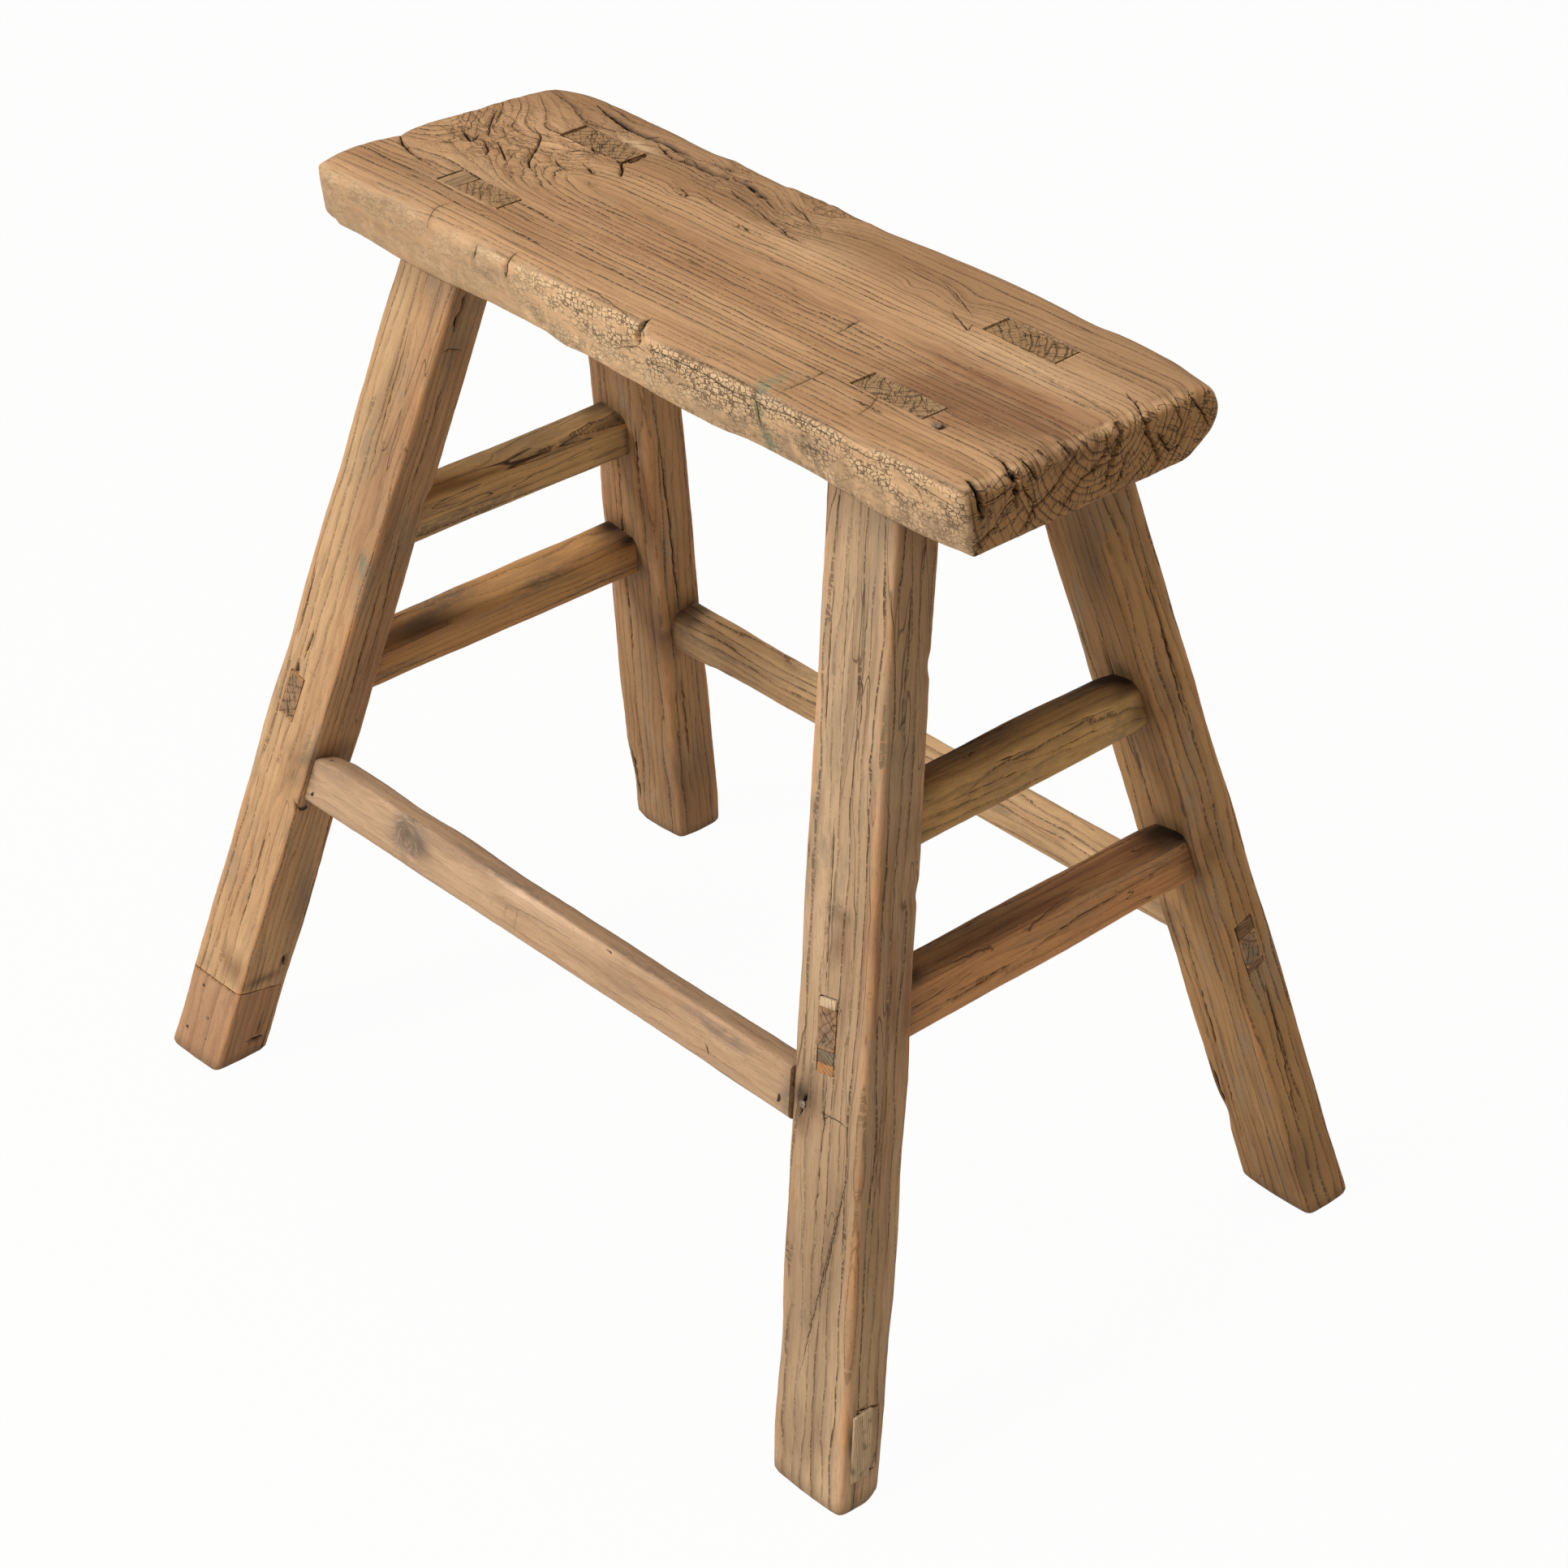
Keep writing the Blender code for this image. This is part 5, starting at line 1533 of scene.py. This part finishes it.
# Round radii (top outer, top inner, under inner, under outer) in millimetres, wear along the rail
# (share of its length, millimetres off), the pith's place, and the tones.
RAIL_SHAPES = {
    "end_rail_left_upper": {
        "rounds": (5.0, 5.0, 3.5, 4.0), "seed": 71.0, "pith": (0.030, -0.050),
        "top": ((0, 0.0), (0.3, 0.5), (0.7, 0.6), (1, 0.0)), "under": ((0, 1.0), (0.5, 1.6), (1, 1.4)),
        "outer": ((0, 0), (0.5, 0.4), (1, 0.0)), "inner": ((0, 0), (1, 0)),
        "tones": (colour(240, 198, 138), colour(224, 179, 121), colour(158, 122, 81)),
    },
    "end_rail_left_lower": {
        "rounds": (5.5, 5.0, 3.5, 4.5), "seed": 83.0, "pith": (-0.030, -0.045),
        "top": ((0, 0.6), (0.25, 1.0), (0.7, 0.5), (1, 0.0)), "under": ((0, 1.2), (0.5, 0.9), (1, 0.5)),
        "outer": ((0, 0.3), (0.5, 0.6), (1, 0.0)), "inner": ((0, 0), (1, 0)),
        "tones": (colour(226, 174, 114), colour(212, 154, 96), colour(154, 110, 68)),
    },
    "end_rail_right_upper": {
        "rounds": (8.5, 9.0, 7.0, 7.5), "seed": 97.0, "pith": (-0.045, 0.030),
        "top": ((0, 0.5), (0.4, 0.0), (0.8, 0.0), (0.93, 0.6), (1, 2.6)),
        "under": ((0, 0.0), (0.5, 0.3), (1, 1.2)),
        "outer": ((0, 0.3), (0.5, 0.0), (0.92, 0.2), (1, 1.6)), "inner": ((0, 0), (1, 1.0)),
        "tones": (colour(214, 172, 112), colour(196, 150, 94), colour(126, 92, 58)),
    },
    "end_rail_right_lower": {
        "rounds": (6.5, 5.5, 3.5, 4.5), "seed": 109.0, "pith": (0.040, -0.040),
        "top": ((0, 0.0), (0.5, 0.3), (0.92, 0.3), (1, 1.6)), "under": ((0, -0.7), (0.6, -0.5), (1, 0.0)),
        "outer": ((0, 0.0), (0.6, 0.2), (0.94, 0.2), (1, 1.2)), "inner": ((0, 0), (1, 0)),
        "tones": (colour(216, 162, 110), colour(198, 142, 92), colour(130, 92, 62)),
    },
    "long_rail_front": {
        "rounds": (2.6, 9.0, 3.0, 3.0), "seed": 127.0, "pith": (0.060, 0.050),
        "top": ((0, 2.4), (0.020, 1.8), (0.045, 0.6), (0.20, 1.4), (0.5, 2.6), (1, 2.4)),
        "under": ((0, -0.6), (0.5, -0.3), (1, -0.7)),
        "outer": ((0, 0.0), (0.5, 0.3), (1, 0.0)), "inner": ((0, 0), (1, 0)),
        "tones": (colour(202, 168, 134), colour(188, 152, 118), colour(152, 116, 90)),
    },
    "long_rail_back": {
        "rounds": (3.5, 8.0, 3.5, 3.5), "seed": 139.0, "pith": (0.030, 0.045),
        "top": ((0, 1.8), (0.10, 2.4), (0.22, 3.8), (0.35, 4.6), (0.55, 3.8), (0.75, 3.2), (1, 2.6)),
        "under": ((0, 0.0), (0.07, 0.0), (0.09, 1.6), (0.5, 1.8), (1, 0.6)),
        "outer": ((0, 0), (0.5, 0.4), (1, 0)), "inner": ((0, 0.0), (0.5, 0.8), (1, 0.3)),
        "tones": (colour(230, 190, 142), colour(216, 174, 126), colour(168, 124, 88)),
    },
}


class RailPiece:
    """Builds one rail's mesh along its line."""

    def __init__(self, node):
        self.line = rail_lines[node]
        self.shape = RAIL_SHAPES[node]
        self.seed = self.shape["seed"]
        self.knots = []
        if node in RAIL_KNOTS:
            pixel, reach, push = RAIL_KNOTS[node]
            self.knots = [(cast(pixel, *self.face("S")), reach, push)]

    def worn(self, side, along):
        return curve(self.shape[side], min(1.0, max(0.0, along / self.line.length))) * MM

    def place(self, across, up, along):
        line = self.line
        if along < -SHOULDER_STEP / 2 or along > line.length + SHOULDER_STEP / 2:
            half = (line.tenon[0] / 2, line.tenon[1] / 2)
            a, c = rounded(across * half[0], up * half[1], half[0], half[1], TENON_ROUND)
            return line.point(line.shift + a, line.rise + c, along)
        half = line.half
        corner = (0 if across > 0 else 1) if up > 0 else (2 if across < 0 else 3)
        radius = self.shape["rounds"][corner] * MM
        radius *= 1 + 0.25 * lumps((along, corner * 2.7, 0), 0.040, self.seed)
        a, c = rounded(crowd(across) * half[0], crowd(up) * half[1], half[0], half[1], radius)
        a_share, c_share = a / half[0], c / half[1]
        a -= a_share * self.worn("outer" if a_share > 0 else "inner", along)
        c -= c_share * self.worn("top" if c_share > 0 else "under", along)
        along = min(line.length, max(0.0, along))
        return line.point(a, c, along)

    def plain_mesh(self):
        line = self.line
        half = line.half
        low = Vector((-1, -line.reach(0), -1))
        high = Vector((1, line.length + line.reach(1), 1))
        steps = (RAIL_STEPS[0] / half[0], RAIL_STEPS[1], RAIL_STEPS[2] / half[1])
        bm = grid_block(low, high, steps)
        for along in (-SHOULDER_STEP, 0.0, line.length, line.length + SHOULDER_STEP):
            sliced(bm, (0, along, 0), Y_AXIS)
        for vert in bm.verts:
            vert.co = self.place(vert.co.x, vert.co.z, vert.co.y)
        turn_outwards(bm)
        return bm

    def local(self, place):
        away = place - self.line.middle
        return away.dot(self.line.across), away.dot(self.line.up), place[self.line.run]

    def grain(self, place):
        across, up, along = self.local(place)
        pith = self.shape["pith"]
        out = Vector((across - pith[0], up - pith[1]))
        radius = out.length + 0.0026 * noise.noise(Vector((along * 6.0, self.seed, 0.3)))
        radius += 0.0009 * lumps((across * 1.5, up * 1.5, along / 3), 0.024, self.seed)
        for middle, reach, push in self.knots:
            radius += push * math.exp(-(place - middle).length_squared / (reach * reach))
        return Vector((along, radius, 0.05 * math.atan2(out.y, out.x)))

    def face(self, direction):
        """A plane on the rail's outer face or on its top."""
        line = self.line
        normal = line.across if direction == "S" else line.up
        half = line.half[0] if direction == "S" else line.half[1]
        return line.middle + normal * half, normal


# The rails' cracks and marks: S is the outer side and T the top.
RAIL_CRACKS = {
    "end_rail_left_upper": (
        ("S", ((600, 556), (650, 540), (700, 522)), 0.0005, 0.0008),
        ("S", ((560, 596), (640, 568)), 0.0004, 0.0006),
    ),
    "end_rail_left_lower": (
        ("S", ((520, 800), (600, 760), (690, 712)), 0.0004, 0.0012),
        ("S", ((640, 765), (720, 724)), 0.0004, 0.0010),
    ),
    "end_rail_right_upper": (
        ("S", ((1141, 966), (1180, 948), (1225, 925), (1262, 905)), 0.0006, 0.0020),
        ("S", ((1166, 990), (1215, 968), (1270, 945)), 0.0004, 0.0014),
        ("S", ((1142, 1012), (1200, 986), (1240, 968)), 0.0004, 0.0012),
        ("S", ((1290, 930), (1330, 910), (1366, 893)), 0.0004, 0.0014),
        ("S", ((1230, 940), (1265, 925)), 0.0007, 0.0016),
        ("S", ((1305, 900), (1340, 884), (1372, 872)), 0.0004, 0.0012),
        ("T", ((1148, 936), (1200, 912), (1250, 886)), 0.0005, 0.0012),
        ("T", ((1300, 872), (1345, 850), (1380, 838)), 0.0004, 0.0010),
    ),
    "end_rail_right_lower": (
        ("S", ((1150, 1243), (1200, 1216), (1260, 1180)), 0.0005, 0.0018),
        ("S", ((1260, 1180), (1330, 1130), (1400, 1090), (1440, 1064)), 0.0005, 0.0016),
        ("S", ((1170, 1226), (1240, 1190)), 0.0004, 0.0012),
        ("S", ((1330, 1090), (1390, 1062), (1430, 1044)), 0.0004, 0.0010),
        ("T", ((1140, 1195), (1250, 1140), (1330, 1090)), 0.0004, 0.0010),
    ),
    "long_rail_front": (
        ("S", ((620, 1112), (655, 1130), (700, 1156)), 0.0003, 0.0005),
        ("S", ((622, 1115), (621, 1138)), 0.0003, 0.0004),
        ("S", ((636, 1122), (632, 1150)), 0.0003, 0.0004),
        ("S", ((780, 1222), (800, 1236), (830, 1256)), 0.0004, 0.0006),
        ("S", ((869, 1287), (872, 1299)), 0.0010, 0.0010),
        ("S", ((976, 1318), (978, 1345), (974, 1372)), 0.0014, 0.0016),
        ("S", ((748, 1172), (752, 1175)), 0.0010, 0.0010),
    ),
    "long_rail_back": (
        ("S", ((900, 826), (911, 832), (918, 838)), 0.0009, 0.0014),
        ("S", ((1286, 1010), (1300, 1020), (1325, 1034)), 0.0006, 0.0016),
        ("S", ((1180, 968), (1230, 996)), 0.0004, 0.0010),
    ),
}
RAIL_MARKS = {
    "end_rail_left_upper": (("T", (620, 535), 0.05, 0.012, "dirt", 0.35),),
    "end_rail_left_lower": (
        ("S", (700, 735), 0.030, 0.010, "grey", 0.5), ("T", (520, 765), 0.030, 0.010, "dirt", 0.65),
    ),
    "end_rail_right_upper": (
        ("T", (1180, 915), 0.050, 0.012, "dirt", 0.45), ("T", (1340, 845), 0.030, 0.012, "dirt", 0.50),
        ("S", (1230, 950), 0.030, 0.010, "grey", 0.35), ("S", (1380, 905), 0.012, 0.014, "grey", 0.6),
    ),
    "end_rail_right_lower": (
        ("T", (1200, 1155), 0.060, 0.010, "dirt", 0.40), ("T", (1370, 1060), 0.060, 0.010, "red", 0.9),
        ("T", (1430, 1030), 0.020, 0.012, "dirt", 0.5), ("S", (1240, 1150), 0.060, 0.006, "red", 0.6),
    ),
    "long_rail_front": (
        ("S", (503, 1030), 0.010, 0.009, "grey", 2.5), ("S", (498, 1026), 0.006, 0.006, "dirt", 0.45),
        ("S", (520, 1048), 0.008, 0.006, "dirt", 0.45),
        ("T", (700, 1110), 0.160, 0.008, "shade", 0.30), ("S", (640, 1100), 0.020, 0.006, "worn", 0.9),
        ("S", (700, 1140), 0.030, 0.006, "worn", 0.8), ("S", (880, 1240), 0.030, 0.005, "worn", 0.6),
        ("S", (970, 1352), 0.006, 0.010, "grey", 0.8), ("S", (765, 1210), 0.020, 0.006, "dirt", 0.25),
        ("S", (820, 1225), 0.030, 0.006, "red", 0.5),
    ),
    "long_rail_back": (
        ("S", (1180, 990), 0.050, 0.008, "worn", 0.6), ("T", (1230, 990), 0.050, 0.008, "red", 0.7),
        ("S", (1310, 1030), 0.016, 0.006, "grey", 0.5),
    ),
}
RAIL_KNOTS = {"long_rail_front": ((501, 1030), 0.0065, 0.012)}
RAIL_CRACK_SHARES = {"S": 0.60, "T": 0.60}
RAIL_REFINED = (0.0024, 0.0012)


def rail_marks_at(piece, cracks):
    """A function that says what has marked a rail at one of its points."""
    line = piece.line
    spots = []
    for face, pixel, half_length, half_up, kind, amount in RAIL_MARKS[line.node]:
        point, normal = piece.face(face)
        spots.append((cast(pixel, point, normal), half_length, half_up, kind, amount, normal))
    ends = [line.point(0.0, 0.0, 0.0), line.point(0.0, 0.0, line.length)]
    old = line.node != "long_rail_front"

    def marks(vert):
        place = vert.co
        across, up, along = piece.local(place)
        found = dict.fromkeys(MARK_KINDS, 0.0)
        for middle, half_length, half_up, kind, amount, normal in spots:
            away = place - middle
            side = away - away.dot(normal) * normal
            length_part = side[line.run]
            side[line.run] = 0
            apart = (length_part / half_length) ** 2 + (side.length / half_up) ** 2
            if apart < 5 and vert.normal.dot(normal) > 0.2:
                found[kind] += amount * math.exp(-apart)
        # Beside the legs each rail is darker with dirt and painted shade, in a narrower band on the new
        # front rail.
        end_away = min(abs(along - end[line.run]) for end in ends)
        reach = 0.030 if old else 0.008
        ragged = 0.8 + 0.6 * lumps(place, 0.012, piece.seed)
        upward = 0.35 + 0.65 * smooth(-0.3, 0.7, vert.normal.z)
        found["dirt"] += (0.75 if old else 0.30) * smooth(reach, 0.0, end_away) * ragged * upward
        if old:
            found["dirt"] += 0.20 * smooth(0.3, 0.9, vert.normal.z)
            found["dirt"] += 0.18 * smooth(0.3, -0.5, vert.normal.dot(line.across))
        found["grey"] += 0.7 * smooth(0.15, 0.6, lumps((across, up, along / 6), 0.011, piece.seed + 9))
        found["dirt"] += cracks.dirt(place)
        found["end"] = 1.0 if abs(vert.normal[line.run]) > 0.8 else 0.0
        return found

    return marks


OLD_RAIL = dict(
    ring=0.0042, line_depth=0.55, check_share=0.9, worn=colour(206, 160, 118),
    grey=colour(132, 118, 98), relief=1.0, rough=0.70,
)
NEW_RAIL = dict(
    ring=0.0060, line_depth=0.10, check_share=0.0, worn=colour(226, 190, 160),
    grey=colour(140, 122, 104), relief=0.45, rough=0.62,
)


def add_rail(node):
    """Builds, cracks, marks and finishes one rail."""
    piece = RailPiece(node)
    cracks = cracks_on(piece, RAIL_CRACKS[node], RAIL_CRACK_SHARES)
    bm = piece.plain_mesh()
    for reach in RAIL_REFINED:
        refine(bm, cracks, reach)
    flow(bm, cracks, piece.seed, wave=0.0004, rough=0.00012)
    bm.normal_update()
    write_layers(bm, piece.grain, rail_marks_at(piece, cracks), cracks)
    is_new = node == "long_rail_front"
    material = wood(
        f"{node.replace('_', ' ')} wood", *piece.shape["tones"], seed=piece.seed,
        end=colour(152, 124, 98), **(NEW_RAIL if is_new else OLD_RAIL),
    )
    add_piece(f"{node}_bar", bm, material, "replacement_rail_wood" if is_new else "rail_elm", node)


for node in rail_lines:
    add_rail(node)

# Wedges and packing at the tenons: small split blocks driven in with their end grain showing, and
# the pale inlay that mends the front right foot.
BLOCK_STEP = 0.0011
BLOCK_ARRIS = 0.0004
GREY_TONES = (colour(148, 128, 104), colour(126, 106, 84), colour(92, 76, 60))
ORANGE_TONES = (colour(190, 136, 86), colour(160, 112, 74), colour(104, 76, 54))
PALE_TONES = (colour(222, 196, 162), colour(208, 180, 144), colour(172, 142, 108))
BROWN_TONES = (colour(176, 144, 106), colour(152, 122, 88), colour(110, 86, 62))
TAN_TONES = (colour(150, 116, 80), colour(132, 100, 68), colour(92, 70, 50))
DARK_TONES = (colour(140, 106, 72), colour(122, 92, 64), colour(88, 66, 48))
# Each block's grain, end on or along it, its tones, and the slot of its wood.
BLOCKS = {
    "seat_wedge_front_left": ("end", BROWN_TONES, "wedge_wood"),
    "tenon_wedge_front_right_upper": ("end", GREY_TONES, "wedge_wood"),
    "tenon_wedge_front_right_lower": ("end", ORANGE_TONES, "wedge_wood"),
    "tenon_shim_front_right": ("long", PALE_TONES, "pale_patch_wood"),
    "tenon_wedge_back_right_upper": ("end", TAN_TONES, "wedge_wood"),
    "tenon_wedge_back_right_lower": ("end", DARK_TONES, "wedge_wood"),
    "foot_patch_front_right": ("long", PALE_TONES, "pale_patch_wood"),
}
# The leg face that a block shows in: (leg, direction, side, how far the block stands out of it).
BLOCK_FACES = {
    "tenon_wedge_front_right_upper": ("front_right", 1, -1, 0.0),
    "tenon_wedge_front_right_lower": ("front_right", 1, -1, 0.0),
    "tenon_shim_front_right": ("front_right", 1, -1, 0.0006),
    "tenon_wedge_back_right_upper": ("back_right", 0, 1, 0.0),
    "tenon_wedge_back_right_lower": ("back_right", 0, 1, 0.0),
    "foot_patch_front_right": ("front_right", 0, 1, 0.0008),
    "foot_toe_nail_1": ("front_left", 1, -1, 0.0),
    "foot_toe_nail_2": ("front_left", 1, -1, 0.0),
    "foot_toe_nail_3": ("front_left", 1, -1, 0.0),
    "foot_toe_nail_4": ("front_left", 1, -1, -0.0004),
    "front_rail_nail_4": ("front_right", 1, -1, 0.0),
}

# The toe's and the front rail's nail heads have rusted away to less than the solids' size.
NAIL_SHARES = {
    "foot_toe_nail_1": 0.50, "foot_toe_nail_2": 0.50, "foot_toe_nail_3": 0.45,
    "foot_toe_nail_4": 0.35, "front_rail_nail_1": 0.50, "front_rail_nail_2": 0.50,
}


def middle_of(bm):
    return sum((v.co for v in bm.verts), Vector()) / len(bm.verts)


def copied(node):
    """A copy of a solid, moved out to the worn face that it shows in, and worn smaller."""
    bm = solid_copy(node)
    if node in BLOCK_FACES:
        leg_name, direction, side, proud = BLOCK_FACES[node]
        height = middle_of(bm).z
        line = leg_lines[leg_name]
        shift = line.axis(height) - line.solid_axis(height)
        shift[direction] = side * (line.growth(direction, side, height) + proud)
        bmesh.ops.translate(bm, vec=shift, verts=bm.verts)
    if node in NAIL_SHARES:
        middle = middle_of(bm)
        share = NAIL_SHARES[node]
        for vert in bm.verts:
            vert.co.x = middle.x + (vert.co.x - middle.x) * share
            vert.co.z = middle.z + (vert.co.z - middle.z) * share
    return bm


def add_block(node, seed):
    """Builds and finishes one block."""
    kind, tones, slot = BLOCKS[node]
    bm = copied(node)
    bmesh.ops.dissolve_limit(bm, angle_limit=math.radians(2), verts=bm.verts, edges=bm.edges)
    bmesh.ops.bevel(
        bm, geom=bm.edges[:], offset=BLOCK_ARRIS, offset_type="OFFSET", affect="EDGES", segments=2,
        profile=0.5, material=-1,
    )
    for axis in range(3):
        spans = [abs(e.verts[0].co[axis] - e.verts[1].co[axis]) for e in bm.edges]
        longest = max(spans)
        least = max(longest * 0.5, BLOCK_STEP * 2)
        edges = [e for e, span in zip(bm.edges, spans) if span > least]
        cuts = max(1, round(longest / BLOCK_STEP) - 1)
        bmesh.ops.subdivide_edges(bm, edges=edges, cuts=cuts, use_grid_fill=True)
    flow(bm, None, seed, wave=0.0002, rough=0.00018)
    bm.normal_update()
    middle = middle_of(bm)

    def grain(place):
        away = place - middle
        if kind == "long":
            return Vector((away.z, away.x + away.y * 2 + seed, away.y))
        return Vector((away.y, away.z * 1.3 + away.x * 0.6 + seed, away.x))

    def marks(vert):
        found = dict.fromkeys(MARK_KINDS, 0.0)
        found["dirt"] = 0.5 * smooth(0.2, 0.7, lumps(vert.co, 0.004, seed))
        return found

    write_layers(bm, grain, marks)
    material = wood(
        f"{node.replace('_', ' ')} wood", *tones, seed=seed, ring=0.0024, line_depth=0.35,
    )
    add_piece(f"{node}_block", bm, material, slot, node)


for number, node in enumerate(BLOCKS):
    add_block(node, 151.0 + number * 7)

# The nails are iron, rusted dark, but for a few heads that hands and feet have rubbed bright.
RUBBED_NAILS = ("seat_nail", "foot_toe_nail_2", "front_rail_nail_4")


def iron(name, clean, rusted):
    """Rusted iron between two tones."""
    finish = Finish(name)
    rust_noise = finish.noise(finish.stretch(finish.object_place(), (900, 900, 900)), 3.0)
    rust = finish.mix(finish.step(rust_noise, 0.35, 0.65), clean, rusted)
    finish.put(finish.shader.inputs["Base Color"], rust)
    finish.put(finish.shader.inputs["Metallic"], 0.55)
    finish.put(finish.shader.inputs["Roughness"], finish.ramp(rust_noise, (0.0, 0.45), (1.0, 0.75)))
    bump = finish.add("ShaderNodeBump", {"Height": rust_noise, "Strength": 0.6, "Distance": 0.0002})
    finish.put(finish.shader.inputs["Normal"], bump)
    return finish.material


dark_iron = iron("rusted iron", colour(66, 58, 52), colour(96, 66, 48))
rubbed_iron = iron("rubbed iron", colour(156, 142, 124), colour(118, 100, 82))
for node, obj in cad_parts.items():
    if "_nail" not in node:
        continue
    nail_iron = rubbed_iron if node in RUBBED_NAILS else dark_iron
    if node in BLOCK_FACES or node in NAIL_SHARES:
        add_piece(f"{node}_iron", copied(node), nail_iron, "iron_nails", node)
        continue
    for slot in obj.material_slots:
        slot.material = nail_iron

# The floor and backdrop are one pale sheet, and soft lamps stand at the front and above.
FLOOR_HALF = 8.0
FLOOR_GAP = 0.0002
floor_mesh = bmesh.new()
bmesh.ops.create_grid(floor_mesh, x_segments=1, y_segments=1, size=FLOOR_HALF)
bmesh.ops.translate(floor_mesh, vec=(0, 0, -FLOOR_GAP), verts=floor_mesh.verts)
floor_data = bpy.data.meshes.new("floor")
floor_mesh.to_mesh(floor_data)
floor_mesh.free()
floor = bpy.data.objects.new("floor", floor_data)
bpy.context.scene.collection.objects.link(floor)

paper = Finish("white paper")
paper.put(paper.shader.inputs["Base Color"], (0.62, 0.58, 0.53))
paper.put(paper.shader.inputs["Roughness"], 0.9)
light_path = paper.nodes.new("ShaderNodeLightPath")
seen = paper.calc("MAXIMUM", light_path.outputs["Is Camera Ray"], light_path.outputs["Is Glossy Ray"])
seen = paper.calc("MAXIMUM", seen, light_path.outputs["Is Transmission Ray"])
glow = paper.add("ShaderNodeEmission", {"Color": (1.0, 1.0, 1.0), "Strength": 1.0})
blend = paper.add(
    "ShaderNodeMixShader",
    {0: paper.times(seen, 0.97), 1: paper.shader.outputs[0], 2: glow},
)
paper.links.new(blend, paper.nodes["Material Output"].inputs["Surface"])
floor_data.materials.append(paper.material)

world = bpy.data.worlds.new("studio")
bpy.context.scene.world = world
world.use_nodes = True
world_nodes = world.node_tree.nodes
world_links = world.node_tree.links
sky = world_nodes["Background"]
sky.inputs["Color"].default_value = (1.0, 0.86, 0.68, 1.0)
sky.inputs["Strength"].default_value = 0.24
backdrop = world_nodes.new("ShaderNodeBackground")
backdrop.inputs["Color"].default_value = (1.0, 1.0, 1.0, 1.0)
world_path = world_nodes.new("ShaderNodeLightPath")
world_mix = world_nodes.new("ShaderNodeMixShader")
world_links.new(world_path.outputs["Is Camera Ray"], world_mix.inputs[0])
world_links.new(sky.outputs[0], world_mix.inputs[1])
world_links.new(backdrop.outputs[0], world_mix.inputs[2])
world_links.new(world_mix.outputs[0], world_nodes["World Output"].inputs["Surface"])

# Each lamp's place, the width of its disk, its power and its tint.
LAMPS = (
    ("key", (-0.65, -2.55, 2.35), 1.3, 86.0, (1.0, 1.0, 1.0)),
    ("overhead", (0.1, 0.3, 2.6), 2.2, 24.0, (1.0, 0.97, 0.92)),
    ("side", (2.6, 0.4, 1.2), 1.6, 4.2, (1.0, 0.86, 0.68)),
)
for name, place, size, power, tint in LAMPS:
    lamp_data = bpy.data.lights.new(name, "AREA")
    lamp_data.shape = "DISK"
    lamp_data.size = size
    lamp_data.energy = power
    lamp_data.color = tint
    lamp = bpy.data.objects.new(name, lamp_data)
    lamp.location = place
    aim = Vector((0, 0, 0.3)) - Vector(place)
    lamp.rotation_euler = aim.to_track_quat("-Z", "Y").to_euler()
    bpy.context.scene.collection.objects.link(lamp)

bpy.context.scene.view_settings.view_transform = "Standard"
